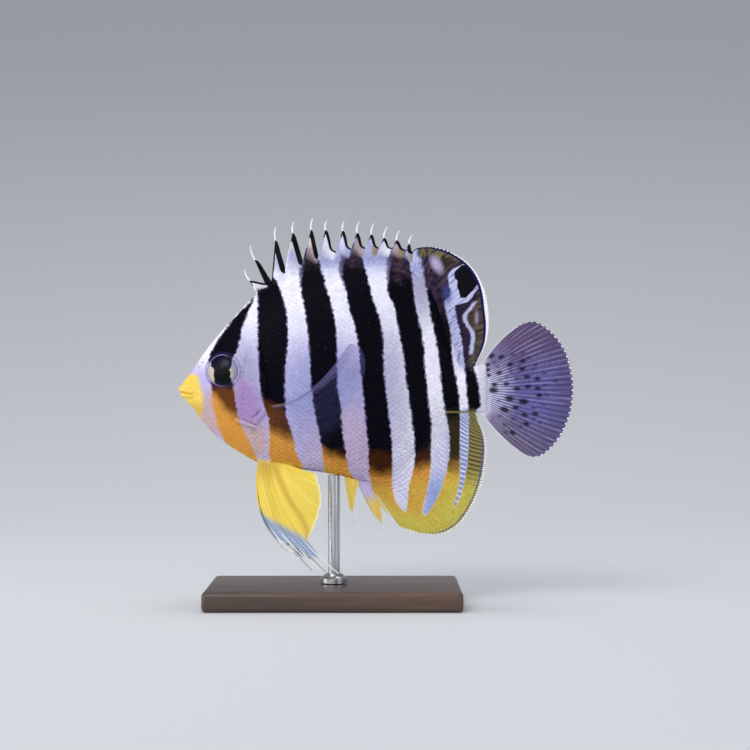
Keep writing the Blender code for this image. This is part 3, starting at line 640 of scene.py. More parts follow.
def nearness(points, line):
    # distance from each point to a line of close points
    return np.sqrt(((points[:, None, :] - line[None, :, :]) ** 2).sum(-1).min(1))


def lipLine(front, corner, halfWidth, frontZ, cornerZ):
    a = np.linspace(-math.pi / 2, math.pi / 2, 60)
    return np.stack([corner - (corner - front) * np.cos(a), halfWidth * np.sin(a),
                     cornerZ + (frontZ - cornerZ) * np.cos(a)], -1)


def foldProfile(points, edge, rise, groove, reachAhead, reachBehind, fadeLow):
    # a plate's free rear edge: a slow rise up to it and a sharp groove just behind
    line = alongLine(edge, np.linspace(0, 1, 200))
    order = np.argsort(line[:, 1])
    z = points[:, 2]
    behind = points[:, 0] - np.interp(z, line[order, 1], line[order, 0])
    blend = easeStep(behind, -0.12, 0.2)
    lift = rise * np.exp(np.minimum(behind, 0) / reachAhead) * (1 - blend)
    lift -= groove * np.exp(-np.maximum(behind, 0) / reachBehind) * blend
    low, high = line[:, 1].min(), line[:, 1].max()
    return lift * easeStep(z, low + fadeLow, low + fadeLow + 8.0) * easeStep(z, high, high - 3.0)


def headRelief(p):
    # how far the head's skin stands out or sinks in at each point: plates, eye socket, nostrils and lips
    h = headDetail
    lift = (foldProfile(p, h["gillEdge"], h["gillRise"], h["gillGroove"], 2.2, 0.9, 9.0)
            * easeStep(p[:, 2], 14.0, 9.0))
    lift += foldProfile(p, h["cheekEdge"], h["cheekRise"], h["cheekGroove"], 1.2, 0.5, 0.0)
    away = np.hypot(p[:, 0] - h["eye"][0], p[:, 2] - h["eye"][1])
    lift += h["rimHeight"] * np.exp(-(((away - h["rimRadius"]) / h["rimWidth"]) ** 2))
    lift -= h["socketDepth"][0] * easeStep(away, h["socketRadius"] + 0.3, h["socketRadius"] - 0.2)
    lift -= h["socketDepth"][1] * easeStep(away, h["socketRadius"], h["socketRadius"] - 0.7)
    for x, z in h["nostrils"]:
        away = np.hypot(p[:, 0] - x, p[:, 2] - z)
        lift -= h["nostrilDepth"] * easeStep(away, h["nostrilRadius"], 0.1)
    snout = p[:, 0] < h["snoutEnd"]
    puff = np.zeros(snout.sum())
    for lip in ("upperLip", "lowerLip"):
        d = nearness(p[snout], lipLine(*h[lip])) / h["lipWidth"]
        puff = np.maximum(puff, h["lipHeight"] * np.clip(1 - d * d, 0, 1) ** 1.5)
    d = nearness(p[snout], lipLine(*h["mouthLine"])) / h["mouthWidth"]
    puff -= h["mouthDepth"] * np.clip(1 - d * d, 0, 1) ** 1.2
    lift[snout] += puff
    return lift


def makeSkin():
    stations = skinStations()
    rings, sides = len(stations), bodyShape["sides"]
    angles = np.linspace(0, 2 * math.pi, sides, endpoint=False)
    grid = bodyPoint(*np.meshgrid(stations, angles, indexing="ij"))
    aroundBody = (np.roll(grid, -1, axis=1) - np.roll(grid, 1, axis=1)) / 2
    normal = unit(np.cross(aroundBody, np.gradient(grid, axis=0)))
    if normal[rings // 2, sides // 4, 1] > 0:
        normal = -normal
    points = grid.reshape(-1, 3)
    lift = np.full(len(points), -bodyShape["coatDepth"])
    head = points[:, 0] < headDetail["end"]
    lift[head] += headRelief(points[head])
    points = points + normal.reshape(-1, 3) * lift[:, None]

    # the grid is closed by a point at the snout and one at the tail
    faces = [tuple(f) for f in gridFaces(rings, sides, wrap=True) + 1]
    faces += [(0, 1 + k, 1 + (k + 1) % sides) for k in range(sides)]
    last = 1 + (rings - 1) * sides
    faces += [(len(points) + 1, last + (k + 1) % sides, last + k) for k in range(sides)]
    endPoint = points[-sides:].mean(0, keepdims=True)
    skin = newMesh("skin", np.concatenate([[bodyShape["tip"]], points, endPoint]), faces)
    faceOutward(skin)
    skin.data.materials.append(wetSkin)
    index = cornerPoints(skin) - 1
    spots = np.stack([np.clip(index // sides, 0, rings - 1) / rings, (index % sides) / sides], -1)
    skin.data.uv_layers.new(name="skinMap").data.foreach_set("uv", spots.astype(np.float32).ravel())
    return skin, stations


def plant(obj, slotName, *replaced):
    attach(obj, "root")
    if replaced:
        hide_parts(*replaced)
    print(obj.name + ":", len(obj.data.polygons), "faces")


skin, skinRings = makeSkin()
plant(skin, "skin", "head", "gill_cover_left", "gill_cover_right", "trunk", "tail_stalk")


def treeOf(obj):
    bm = bmesh.new()
    bm.from_mesh(obj.data)
    tree = BVHTree.FromBMesh(bm)
    bm.free()
    return tree


skinTree = treeOf(skin)


# Scales lie over the skin like shingles, each a small closed plate that Geometry Nodes set on its root.
scaleLayout = {
    "trunkAlong": 0.78,
    "trunkAcross": 1.3,
    "headAlong": 0.5,
    "headAcross": 0.78,
    "tailAlong": 0.55,
    "tailAcross": 0.9,
    "length": 2.5,
    "width": 1.22,
    "thickness": 0.055,
    "tilt": 0.06,
    "bakePatch": 0.003,
    "segments": 8,
    "rings": 5,
    "ownPlace": 0.14,
    "seeds": {"head": 11, "trunk": 23},
}


def geoNode(tree, kind, settings=(), output=0, **sockets):
    inputs = {label.replace("_", " "): value for label, value in sockets.items()}
    return wired(kind, inputs, output, tree, **dict(settings))


def named(tree, label, kind="FLOAT"):
    return geoNode(tree, "GeometryNodeInputNamedAttribute", (("data_type", kind),), Name=label)


def keepAs(geometry, label, value, kind="FLOAT", domain="POINT"):
    inputs = {"Geometry": geometry, "Name": label, "Value": value}
    return wired("GeometryNodeStoreNamedAttribute", inputs, "Geometry", data_type=kind, domain=domain)


def vectorMath(operation, *values, scale=None):
    inputs = dict(enumerate(values))
    if scale is not None:
        inputs["Scale"] = scale
    return wired("ShaderNodeVectorMath", inputs, operation=operation)


def finished(tree, geometry, finish, gives):
    # every tree ends in real faces with their material
    smooth = geoNode(tree, "GeometryNodeSetShadeSmooth", Geometry=geometry)
    solid = geoNode(tree, "GeometryNodeRealizeInstances", Geometry=smooth)
    feed(gives["Geometry"], geoNode(tree, "GeometryNodeSetMaterial", Geometry=solid, Material=finish))
    return tree


def makeScaleTree():
    tree, takes, gives = newGroup(
        "layScales",
        (
            ("Geometry", "Geometry", None),
            ("Thickness", "Float", scaleLayout["thickness"] * mm),
            ("Tilt", "Float", scaleLayout["tilt"]),
            ("Seed", "Int", 7),
            ("Patch", "Float", scaleLayout["bakePatch"]),
            ("Finish", "Material", None),
        ),
        (("Geometry", "Geometry"),),
        "GeometryNodeTree",
    )
    vector, centre = "FLOAT_VECTOR", (0.5, 0.5, 0.5)
    plate = geoNode(tree, "GeometryNodeMeshUVSphere", Segments=scaleLayout["segments"],
                    Rings=scaleLayout["rings"], Radius=1.0)
    spot = geoNode(tree, "GeometryNodeInputPosition")
    leaf = keepAs(plate, "leafSpot", vectorMath("MULTIPLY_ADD", spot, centre, centre), vector)
    aimed = geoNode(tree, "FunctionNodeAlignRotationToVector", (("axis", "Z"),),
                    Vector=named(tree, "facing", vector))
    laid = geoNode(tree, "FunctionNodeAlignRotationToVector", (("axis", "X"), ("pivot_axis", "Z")),
                   Rotation=aimed, Vector=named(tree, "lie", vector))
    size = geoNode(tree, "ShaderNodeCombineXYZ", X=named(tree, "reach"), Y=named(tree, "breadth"),
                   Z=takes["Thickness"])
    laidOut = geoNode(tree, "GeometryNodeInstanceOnPoints", Points=takes["Geometry"], Instance=leaf,
                      Rotation=laid, Scale=size)
    tone = geoNode(tree, "FunctionNodeRandomValue", (("data_type", "FLOAT"),), 1, Seed=takes["Seed"])
    toned = keepAs(laidOut, "scaleTone", tone, "FLOAT", "INSTANCE")
    # the hind edge of a plate stands up over the next one's root
    tip = geoNode(tree, "ShaderNodeCombineXYZ", Y=takes["Tilt"] * -1.0)
    tipped = geoNode(tree, "GeometryNodeRotateInstances", Instances=toned, Rotation=tip, Local_Space=True)
    solid = geoNode(tree, "GeometryNodeRealizeInstances", Geometry=tipped)
    # a plate reads the markings mostly at its root, so that it keeps to one colour
    inputs = {0: scaleLayout["ownPlace"], 4: spot, 5: named(tree, "seat", vector)}
    solid = keepAs(solid, "scalePlace", wired("ShaderNodeMix", inputs, 1, data_type="VECTOR"), vector)
    inPatch = vectorMath("SUBTRACT", named(tree, "leafSpot", vector), centre)
    bakeSpot = vectorMath("ADD", named(tree, "rootSpot", vector),
                          vectorMath("SCALE", inPatch, scale=takes["Patch"]))
    return finished(tree, keepAs(solid, "OFBake", bakeSpot, "FLOAT2", "CORNER"), takes["Finish"], gives)


scaleTree = makeScaleTree()


def grownFrom(name, points, values, tree, edges=(), **settings):
    # runs a Geometry Nodes tree on points (and edges) with attributes, and keeps the result as a plain mesh
    mesh = bpy.data.meshes.new(name + "Roots")
    mesh.from_pydata(points.tolist(), [tuple(int(i) for i in e) for e in edges], [])
    writeValues(mesh, values)
    roots = newObject(name + "Roots", mesh)
    modifier = roots.modifiers.new("Grow", "NODES")
    modifier.node_group = tree
    for item in tree.interface.items_tree:
        if item.item_type == "SOCKET" and item.in_out == "INPUT" and item.name in settings:
            modifier[item.identifier] = settings[item.name]
    bpy.context.view_layer.update()
    graph = bpy.context.evaluated_depsgraph_get()
    grown = bpy.data.meshes.new_from_object(roots.evaluated_get(graph))
    roots.modifiers.clear()
    bpy.data.objects.remove(roots)
    grown.name = name
    return newObject(name, grown)


def halfRing(station, side):
    # points and angles along one side of a rib, with the arc length measured from the widest line
    angle = np.linspace(0.0, math.pi, 240)
    turn = angle if side < 0 else 2 * math.pi - angle
    points = bodyPoint(np.full_like(angle, station), turn)
    arc = arcLength(points)
    return points, turn, arc - np.interp(math.pi / 2, angle, arc)


def flankNormal(station, turn):
    # the way out of the skin and the way along it towards the tail
    small = 1e-3

    def step(alongRibs, around):
        ends = [bodyPoint(np.array(station + k * alongRibs), np.array(turn + k * around)) for k in (1, -1)]
        return ends[0] - ends[1]

    ahead = step(small, 0.0)
    return unit(np.cross(step(0.0, small), ahead)), unit(ahead)


gillLine = alongLine(headDetail["gillEdge"], np.linspace(0, 1, 200))
gillLine = gillLine[np.argsort(gillLine[:, 1])]
lipLines = np.concatenate([lipLine(*headDetail[lip]) for lip in ("upperLip", "lowerLip", "mouthLine")])


def behindGill(x, z):
    return x - np.interp(z, gillLine[:, 1], gillLine[:, 0])


def bareSkin(point):
    # where no scale grows: the eye's rim, the lips and the nostrils
    x, z = point[0], point[2]
    if math.hypot(x - headDetail["eye"][0], z - headDetail["eye"][1]) < headDetail["rimRadius"] - 0.1:
        return True
    if x < headDetail["snoutEnd"] and nearness(point[None], lipLines)[0] < headDetail["bareAtLips"]:
        return True
    return any(math.hypot(x - a, z - b) < headDetail["bareAtNostrils"] for a, b in headDetail["nostrils"])


rootLabels = ("seat", "facing", "lie", "reach", "breadth", "rootSpot")


def asValues(roots):
    return {label: np.array(column) for label, column in zip(rootLabels, zip(*roots))}


def flankRoots(part, side, start, end):
    # roots in rows along the body; every other rib's roots sit half a step lower
    layout = scaleLayout
    fine = allStations(3000)
    axis = easeKnots(bodyShape["ribs"], fine)[:, 0]
    onHead = part == "head"
    dice = np.random.default_rng(layout["seeds"][part])
    roots = []
    x, row = start, 0
    while x < end:
        if onHead:
            # the smallest scales lie on the snout
            small = 0.62 + 0.38 * min(x / 14, 1)
            along, across = layout["headAlong"] * small, layout["headAcross"] * small
        else:
            toTail = float(easeStep(np.array(x), 58.0, 72.0))
            along = layout["trunkAlong"] + (layout["tailAlong"] - layout["trunkAlong"]) * toTail
            across = layout["trunkAcross"] + (layout["tailAcross"] - layout["trunkAcross"]) * toTail
        station = float(np.interp(x, axis, fine))
        ring = np.interp(station, skinRings, np.arange(len(skinRings)) / len(skinRings))
        points, turns, arc = halfRing(station, side)
        spots = np.arange(math.floor(arc[0] / across), math.ceil(arc[-1] / across) + 1) * across
        for spot in spots + (row % 2) * across / 2:
            if not arc[0] + 0.02 < spot < arc[-1] - 0.02:
                continue
            turn = float(np.interp(spot, arc, turns))
            point = np.array([np.interp(spot, arc, points[:, k]) for k in range(3)])
            behind = behindGill(point[0], point[2])
            if (behind > 0.45 if onHead else behind < -0.1) or bareSkin(point):
                continue
            normal, ahead = flankNormal(station, turn)
            outside = Vector(inRoom(point + normal * 1.5)[0])
            place, facing = skinTree.ray_cast(outside, Vector(-normal), 0.004)[:2]
            if place is None:
                continue
            # each scale sits, leans and reaches a little differently
            jitter = dice.uniform(-1, 1, 4)
            roots.append((
                np.array(place) + np.array(facing) * 0.02 * mm,
                np.array(facing) + 0.05 * np.array([jitter[1], 0, jitter[2]]),
                ahead + np.array([0, 0, 0.06 * jitter[0]]),
                along * layout["length"] * (0.5 + 0.03 * jitter[3]) * mm,
                across * layout["width"] * 0.5 * mm,
                (ring, turn / (2 * math.pi), 0.0),
            ))
        x += along
        row += 1
    return asValues(roots)


def coat(name, roots, seed):
    piece = grownFrom(name, roots["seat"], roots, scaleTree, Seed=seed, Finish=scaleSheen)
    plant(piece, "skin")


# each coat piece: its part of the body and the stretch along it that it covers
coatPieces = {"headScales": ("head", 1.4, 27.0), "foreScales": ("trunk", 14.0, 43.0),
              "hindScales": ("trunk", 43.12, 77.6)}
for word, side in flanks:
    for seed, (label, (part, first, last)) in enumerate(coatPieces.items()):
        coat(label + word, flankRoots(part, side, first, last), 10 * seed + side + 5)


# Fins. s runs along a fin's root from front to back and t from root to margin, both 0 to 1.
softDorsal = {
    "roots": ((58.5, 29.2), (63.0, 24.6), (65.6, 18.6), (67.4, 12.6), (69.2, 6.6), (71.5, 4.2),
              (74.2, 4.0)),
    "margin": ((59.1, 34.4), (60.6, 35.7), (65.6, 35.7), (70.6, 33.7), (74.6, 30.3), (77.3, 25.2),
               (78.45, 18.6), (78.0, 12.6), (76.2, 8.3), (74.6, 6.6)),
    "rays": 18,
    "rows": 70,
    "above": 1,
    "skew": 0.1,
    "bow": lambda s: (-0.6 * np.sin(np.pi * s), 1.0 - s),
    "wave": 0.25,
    "girth": 0.17,
    "tips": 54,
}
softAnal = {
    "roots": ((46.4, -21.3), (50.5, -21.6), (55.0, -19.6), (59.5, -15.0), (63.2, -10.0), (66.2, -5.6),
              (69.0, -4.2), (74.7, -4.2)),
    "margin": ((55.8, -35.2), (61.6, -36.9), (66.6, -36.9), (71.0, -34.4), (74.6, -29.3), (77.0, -22.8),
               (77.9, -15.5), (77.0, -10.6), (75.2, -7.4)),
    "rays": 18,
    "rows": 70,
    "above": -1,
    "skew": 0.15,
    "bow": lambda s: (-1.4 * np.sin(np.pi * s), -1.4 * np.sin(np.pi * s)),
    "wave": 0.25,
    "girth": 0.17,
    "tips": 72,
}
tailFin = {
    "roots": ((76.2, 5.4), (76.4, 0.0), (76.2, -5.4)),
    "margin": ((86.4, 16.2), (90.2, 17.0), (94.2, 14.5), (97.8, 9.7), (99.6, 3.5), (99.9, -1.5),
               (98.8, -7.4), (96.0, -13.0), (92.4, -16.6), (89.4, -17.3), (86.9, -16.1)),
    "rays": 17,
    "rows": 90,
    "skew": 0.0,
    "bow": lambda s: (-0.3 + 0 * s, 1.0 * (1 - 2 * s)),
    "wave": 0.3,
    "girth": 0.2,
    "tips": 68,
    # dark spots as size, strength and places
    "spots": (
        (1.35, 1.0, ((79.6, -0.4), (83.75, -2.55), (87.3, -3.3), (82.4, -5.3))),
        (1.0, 0.9, ((79.2, 8.25), (81.6, 8.0), (83.9, 6.1), (87.1, 7.0), (78.1, 6.0), (78.1, 4.7),
                    (78.2, 3.35),
                    (81.1, 4.0), (87.0, 5.0), (88.15, 3.0), (90.8, 2.5), (82.9, 1.2), (79.9, 1.0),
                    (85.6, 0.0),
                    (88.4, 0.5), (90.9, 0.1), (91.3, -1.7), (85.3, -4.8), (87.6, -6.7), (90.3, -6.4),
                    (88.0, -8.95),
                    (84.5, -11.2))),
        (0.9, 0.55, ((95.4, 1.85), (87.1, 9.0), (84.1, 4.2), (85.6, 2.5), (90.4, 6.0), (89.8, 5.0),
                     (89.8, -4.8),
                     (89.8, -7.7), (82.5, -9.2), (82.75, -11.1), (79.9, 6.7), (80.6, 5.6), (82.9, 2.9),
                     (81.3, 2.2),
                     (84.6, 8.6), (88.6, 7.8), (92.6, 3.9), (92.9, 0.9), (93.2, -1.6), (92.4, -4.2),
                     (81.0, -3.1),
                     (84.7, -7.6), (86.6, -9.6), (91.4, -8.6), (83.9, 4.9), (86.2, 5.6), (81.2, -7.0))),
    ),
    "spotSize": (1.0, 0.6),
}
pectoralFin = {
    "roots": ((22.9, -4.2), (23.2, -7.6), (23.6, -10.8)),
    "margin": ((43.0, 11.0), (44.6, 11.0), (46.4, 9.4), (47.2, 6.4), (46.8, 2.5), (44.4, -3.5),
               (41.0, -9.6), (36.6, -15.0), (31.0, -18.4)),
    "rays": 14,
    "rows": 50,
    "skew": 0.0,
    "bow": lambda s: (0.2 * (1 - s), -3.8 * (1 - s)),
    "wave": 0.3,
    "girth": 0.12,
    "tips": 56,
    "stand": (2.3, 3.4, -0.7),
}


def flankAt(x, z):
    # how far the smooth body stands from the middle at a place on its side
    angles = np.linspace(0.02, math.pi - 0.02, 120)
    grid = bodyPoint(*np.meshgrid(allStations(260), angles, indexing="ij")).reshape(-1, 3)
    near = np.argsort((grid[:, 0] - x) ** 2 + (grid[:, 2] - z) ** 2)[:6]
    return abs(grid[near, 1]).mean()


def finPoint(fin, s, t):
    roots = alongLine(fin["roots"], s)
    tips = alongLine(fin["margin"], s + fin["skew"] * np.sin(np.pi * s))
    arch = 4 * t * (1 - t)
    bowX, bowZ = fin["bow"](s)
    # the membrane stands out a little at each ray's tip
    scallop = 1 + t**8 * 0.006 * np.cos(2 * np.pi * s * fin["tips"])
    x = roots[..., 0] + (tips[..., 0] - roots[..., 0]) * t * scallop + bowX * arch
    z = roots[..., 1] + (tips[..., 1] - roots[..., 1]) * t * scallop + bowZ * arch
    y = fin["wave"] * t * np.sin(2 * np.pi * (1.3 * s + 0.6 * t))
    if "side" in fin:
        upper, lower = fin["flank"]
        away, spread, sunk = fin["stand"]
        y = (y + fin["side"]
             * (upper + (lower - upper) * s + away * np.minimum(t * 5, 1) + sunk + spread * t))
    return np.stack([x, y, z], -1)


def pleat(columns):
    # a fine corrugation, 1 on each whole column: a web is a little thicker beside each ray
    return 0.5 + 0.5 * np.cos(2 * np.pi * columns)


def rimLine(angle):
    # the body's outline seen from the side, over the back (0) or under the belly (pi)
    stations = allStations(500)
    return bodyPoint(stations, np.full(500, angle))[:, (0, 2)]


rimLines = {1: rimLine(0.0), -1: rimLine(math.pi)}


def beyondBody(points, above):
    # how far a place in the middle plane lies outside the body's back (1) or belly (-1), in mm
    line = rimLines[above]
    flat = points.reshape(-1, 3)[:, (0, 2)]
    away = np.hypot(flat[:, None, 0] - line[:, 0], flat[:, None, 1] - line[:, 1])
    near = away.argmin(1)
    course = np.gradient(line, axis=0)[near]
    gap = flat - line[near]
    outside = np.sign(course[:, 0] * gap[:, 1] - course[:, 1] * gap[:, 0]) * above
    return (away.min(1) * outside).reshape(points.shape[:-1])


def fairing(points, above, risen, hidden=0.08):
    # a web thickens where it leaves the body, and thins again where it is hidden there
    inside = np.maximum(beyondBody(points, above), -1.2) + 1.2
    return (1.25 if above == 1 else 1.7) * np.exp(-inside / 1.3) * easeStep(np.asarray(risen), 0.0, hidden)


def closedSheet(name, grid, half, finSpot, finish, extra=None):
    # a thin closed web on a grid of points, half its thickness to either side
    rows, columns = grid.shape[:2]
    normal = unit(np.cross(np.gradient(grid, axis=0), np.gradient(grid, axis=1))) * half[..., None]
    quads = gridFaces(rows, columns)
    far = rows * columns
    faces = [tuple(f) for f in quads] + [tuple(f[::-1] + far) for f in quads]
    edge = [j for j in range(columns)]
    edge += [i * columns + columns - 1 for i in range(1, rows)]
    edge += [(rows - 1) * columns + j for j in range(columns - 2, -1, -1)]
    edge += [i * columns for i in range(rows - 2, 0, -1)]
    faces += [(a, b, b + far, a + far) for a, b in zip(edge, edge[1:] + edge[:1])]
    sheet = newMesh(name, np.concatenate([(grid - normal).reshape(-1, 3), (grid + normal).reshape(-1, 3)]),
                    faces)
    faceOutward(sheet)
    masks = {}
    for label, value in dict(extra or {}, finSpot=finSpot).items():
        flat = value.reshape(far, -1).squeeze()
        masks[label] = np.concatenate([flat, flat])
    writeValues(sheet.data, masks)
    spots = masks["finSpot"][cornerPoints(sheet)][:, :2]
    sheet.data.uv_layers.new(name="finMap").data.foreach_set("uv", spots.astype(np.float32).ravel())
    sheet.data.materials.append(finish)
    return sheet


def webGrid(fin, rows, perRay):
    s = np.linspace(0, 1, fin["rays"] * perRay + 1)
    t = 1 - (1 - np.linspace(0, 1, rows)) ** 1.35
    s, t = np.meshgrid(s, t, indexing="ij")
    grid = finPoint(fin, s, t)
    length = np.linalg.norm(finPoint(fin, s[:, :1], t[:, :1] * 0 + 1)
                            - finPoint(fin, s[:, :1], t[:, :1] * 0), axis=-1)
    return s, t, grid, (1 - t) * length


def makeWeb(name, fin, finish, perRay=12, thick=(0.2, 0.05)):
    s, t, grid, gap = webGrid(fin, fin["rows"], perRay)
    half = thick[0] * (1 - t) + thick[1] * t + 0.03 * pleat(s * fin["rays"] - 0.5) * (1 - t)
    if "above" in fin:
        half = half + fairing(grid, fin["above"], t)
    masks = {"ink": spotInk(grid)} if "spots" in fin else {}
    return closedSheet(name, grid, half, np.stack([s, t, gap], -1), finish, masks)


def makeRayTree():
    # rays and spines: tubes along the edges of a mesh, as thick as its "girth" says
    tree, takes, gives = newGroup(
        "growRays",
        (("Geometry", "Geometry", None), ("Sides", "Int", 6), ("Finish", "Material", None)),
        (("Geometry", "Geometry"),),
        "GeometryNodeTree",
    )
    lines = geoNode(tree, "GeometryNodeMeshToCurve", Mesh=takes["Geometry"])
    sized = geoNode(tree, "GeometryNodeSetCurveRadius", Curve=lines, Radius=named(tree, "girth"))
    ring = geoNode(tree, "GeometryNodeCurvePrimitiveCircle", Resolution=takes["Sides"], Radius=1.0)
    tube = geoNode(tree, "GeometryNodeCurveToMesh", Curve=sized, Profile_Curve=ring, Fill_Caps=True)
    inputs = tube.socket.node.inputs
    if "Scale" in inputs:
        feed(inputs["Scale"], named(tree, "girth"))
    return finished(tree, tube, takes["Finish"], gives)


rayTree = makeRayTree()


def tubes(name, lines, finish, sides=6):
    # each line is (points, girths in mm, fin spots, ink)
    points, girths, spots, inks, edges = [], [], [], [], []
    for line, girth, spot, ink in lines:
        start = sum(len(p) for p in points)
        edges += [(start + k, start + k + 1) for k in range(len(line) - 1)]
        points.append(np.asarray(line))
        girths.append(np.broadcast_to(girth, len(line)))
        spots.append(np.asarray(spot))
        inks.append(np.broadcast_to(ink, len(line)))
    values = {"girth": np.concatenate(girths) * mm, "finSpot": np.concatenate(spots),
              "ink": np.concatenate(inks)}
    return grownFrom(name, inRoom(np.concatenate(points)), values, rayTree, edges, Sides=sides,
                     Finish=finish)


def rayLines(fin, seed):
    # each ray parts in two and then in four on its way to the margin
    dice = np.random.default_rng(seed)
    step = 1 / fin["rays"]
    lines = []
    for i in range(fin["rays"]):
        first, second = 0.4 + dice.uniform(-0.05, 0.05), 0.68 + dice.uniform(-0.04, 0.04)
        for a, b in ((-1, -1), (1, -1), (-1, 1), (1, 1)):
            start = 0.0 if (a, b) == (-1, -1) else first if b == -1 else second
            t = np.linspace(start, 0.998, max(int(34 * (1 - start)), 8))
            parted = (a * 0.25 * easeStep(t, first, first + 0.3) + b * 0.125
                      * easeStep(t, second, second + 0.25))
            s = (i + 0.5 + parted) * step
            line = finPoint(fin, s, t)
            length = arcLength(line)[-1] / max(1 - start, 0.01)
            girth = fin["girth"] * ((1 - t) ** 0.9 * 0.85 + 0.3) * (1 - 0.25 * (t > first)) + 0.02
            ink = spotInk(line) if "spots" in fin else 0.0
            lines.append((line, girth, np.stack([s, t, (1 - t) * length], -1), ink))
    return lines


def streaks(spot, across, along, detail=2.0):
    # noise drawn out along the rays
    return cloud(stretched(spot, (across, along, 0.0)), 1.0, detail)


dorsalPaint = {
    "violet": tint(34, 24, 54),
    "rust": tint(80, 60, 74),
    "brown": tint(96, 80, 70),
    "olive": tint(118, 108, 74),
    "oliveDark": tint(46, 40, 36),
    "pale": tint(196, 198, 238),
    "rung": tint(116, 122, 184),
    "patchTint": tint(192, 182, 218),
    "blue": tint(70, 80, 150),
    "white": tint(246, 246, 253),
    "night": tint(5, 4, 14),
    "margin": tint(24, 14, 78),
    # the dark spot lies between two edges, each a row of (z, x) pairs
    "spotFront": ((22.9, 71.3), (24.9, 70.8), (26.0, 70.4), (27.5, 70.5), (27.9, 69.8), (29.0, 69.7),
                  (31.3, 71.5)),
    "spotRear": ((23.1, 72.7), (24.7, 74.2), (26.2, 75.5), (27.1, 76.0), (29.2, 75.0), (30.6, 73.9),
                 (31.6, 72.8)),
    "spotReach": (23.0, 31.4),
    "patch": ((65.2, 31.5), (1.15, 2.2), 28),
    "blueZone": ((67.9, 23.9), (1.0, 2.2), 10),
    "oliveEdge": ((60.5, 33.6), (61.2, 33.2), (63.3, 34.0), (65.6, 33.0), (66.4, 29.6), (67.5, 29.4),
                  (68.2, 31.0), (70.7, 31.9), (71.6, 33.2), (74.0, 34.5)),
    "wavy": ((22.6, 75.8), (21.6, 74.7), (20.3, 73.9), (18.8, 72.6), (17.7, 72.4), (16.1, 73.1),
             (14.6, 74.2), (12.8, 74.4), (10.9, 74.2), (8.5, 73.9)),
    "whiteRim": ((0.0, 0.0), (0.09, 0.0), (0.12, 0.3), (0.21, 0.32), (0.36, 0.45), (0.5, 0.8), (0.56, 0.9),
                 (0.63, 0.75), (0.79, 0.45), (0.9, 0.3), (1.0, 0.25)),
}


def makeDorsalMarks():
    p = dorsalPaint
    tree, takes, gives = newGroup("dorsalMarks", (("Place", "Vector", None), ("Spot", "Vector", None)),
                                  (("Colour", "Color"),))
    body = useGroup(fishMarks, Place=takes["Place"], Ragged=0.25)
    bar = body["Bar"]
    x, z = splitPlace(takes["Place"])
    s, t, gap = split(takes["Spot"])
    grain = streaks(takes["Spot"], 46.0, 2.2)
    rung = rungs(s, 2 * softDorsal["rays"])
    # the pale stripe is laddered by the rays that cross it
    pale = mix(p["pale"], rung * ramp(grain, 0.35, 0.6) * 0.8, p["rung"])
    colour = mix(body["Colour"], (1 - bar) * ramp(t, 0.02, 0.2), pale)
    streaked = most(ramp(grain, 0.45, 0.62), rung * 0.55)
    # the sixth bar's top is streaked rust and violet
    front = bar * ramp(x, 60.5, 62.0) * ramp(x, 70.6, 69.4) * ramp(z, 16.0, 23.0)
    high = mix(p["violet"], streaked * ramp(z, 18.0, 28.0, 0.45, 1.0), p["rust"])
    colour = mix(colour, front, high)
    # behind the pale stripe the fin is violet, and brown beyond the wavy line
    wavy = xAt(z, p["wavy"])
    swung = grain * 0.9 + x - 0.45
    after = bar * ramp(x, 69.4, 70.6) * ramp(t, 0.05, 0.3)
    colour = mix(colour, after, mix(p["violet"], streaked * 0.35, p["rust"]))
    hind = after * ramp(swung - wavy, -0.9, 0.5)
    colour = mix(colour, hind, mix(p["oliveDark"], streaked, p["brown"]))
    line = stroke(swung, wavy, 1.0, 0.7) * within(z, 8.8, 22.0, 0.6)
    colour = mix(colour, line * 0.9, p["pale"])
    faint = stroke(x, 75.4, 0.9, 0.7) * within(z, 16.5, 19.5, 1.0) * 0.45
    colour = mix(colour, faint, p["patchTint"])
    colour = mix(colour, oval(x, z, *p["blueZone"], soft=0.8) * 0.7, p["blue"])
    # an olive edge along the top
    oliveEdge = zAt(x, p["oliveEdge"])
    above = grain * 1.2 + z - oliveEdge
    olive = ramp(above, 0.0, 1.1) * within(x, 60.4, 72.6, 0.5)
    colour = mix(colour, olive, mix(p["olive"], ramp(grain, 0.42, 0.62), p["oliveDark"]))
    colour = mix(colour, oval(x, z, *p["patch"], soft=0.7) * 0.85, p["patchTint"])
    spotFront, spotRear = (xAt(z, p[label]) for label in ("spotFront", "spotRear"))
    night = (ramp(x - spotFront, -0.2, 0.2) * ramp(spotRear - x, -0.2, 0.2)
             * within(z, *p["spotReach"], 0.25))
    colour = mix(colour, night, p["night"])
    # a violet line inside a white rim that starts as single dashes
    rim = drawn(s, p["whiteRim"], (0.0, 1.0), (0.0, 2.0))
    beyond = gap - rim
    colour = mix(colour, ramp(beyond, 0.75, 0.5), p["margin"])
    dash = most(rungs(s, softDorsal["tips"], -0.2, 0.3), ramp(s, 0.18, 0.21))
    colour = mix(colour, dash * ramp(beyond, 0.04, -0.12), p["white"])
    feed(gives["Colour"], colour)
    return tree


analPaint = {
    "stripe": tint(214, 212, 236),
    "stripeShade": tint(142, 146, 198),
    "steel": tint(138, 148, 196),
    "rungWhite": tint(222, 226, 244),
    "stripeTip": tint(150, 158, 210),
    "lowBlue": tint(148, 162, 214),
    "gold": tint(204, 162, 68),
    "yellow": tint(198, 188, 82),
    "chartreuse": tint(190, 182, 84),
    "deep": tint(44, 36, 20),
    "olive": tint(140, 130, 80),
    "oliveDark": tint(60, 52, 28),
    "rim": tint(92, 84, 124),
    "white": tint(246, 246, 253),
}


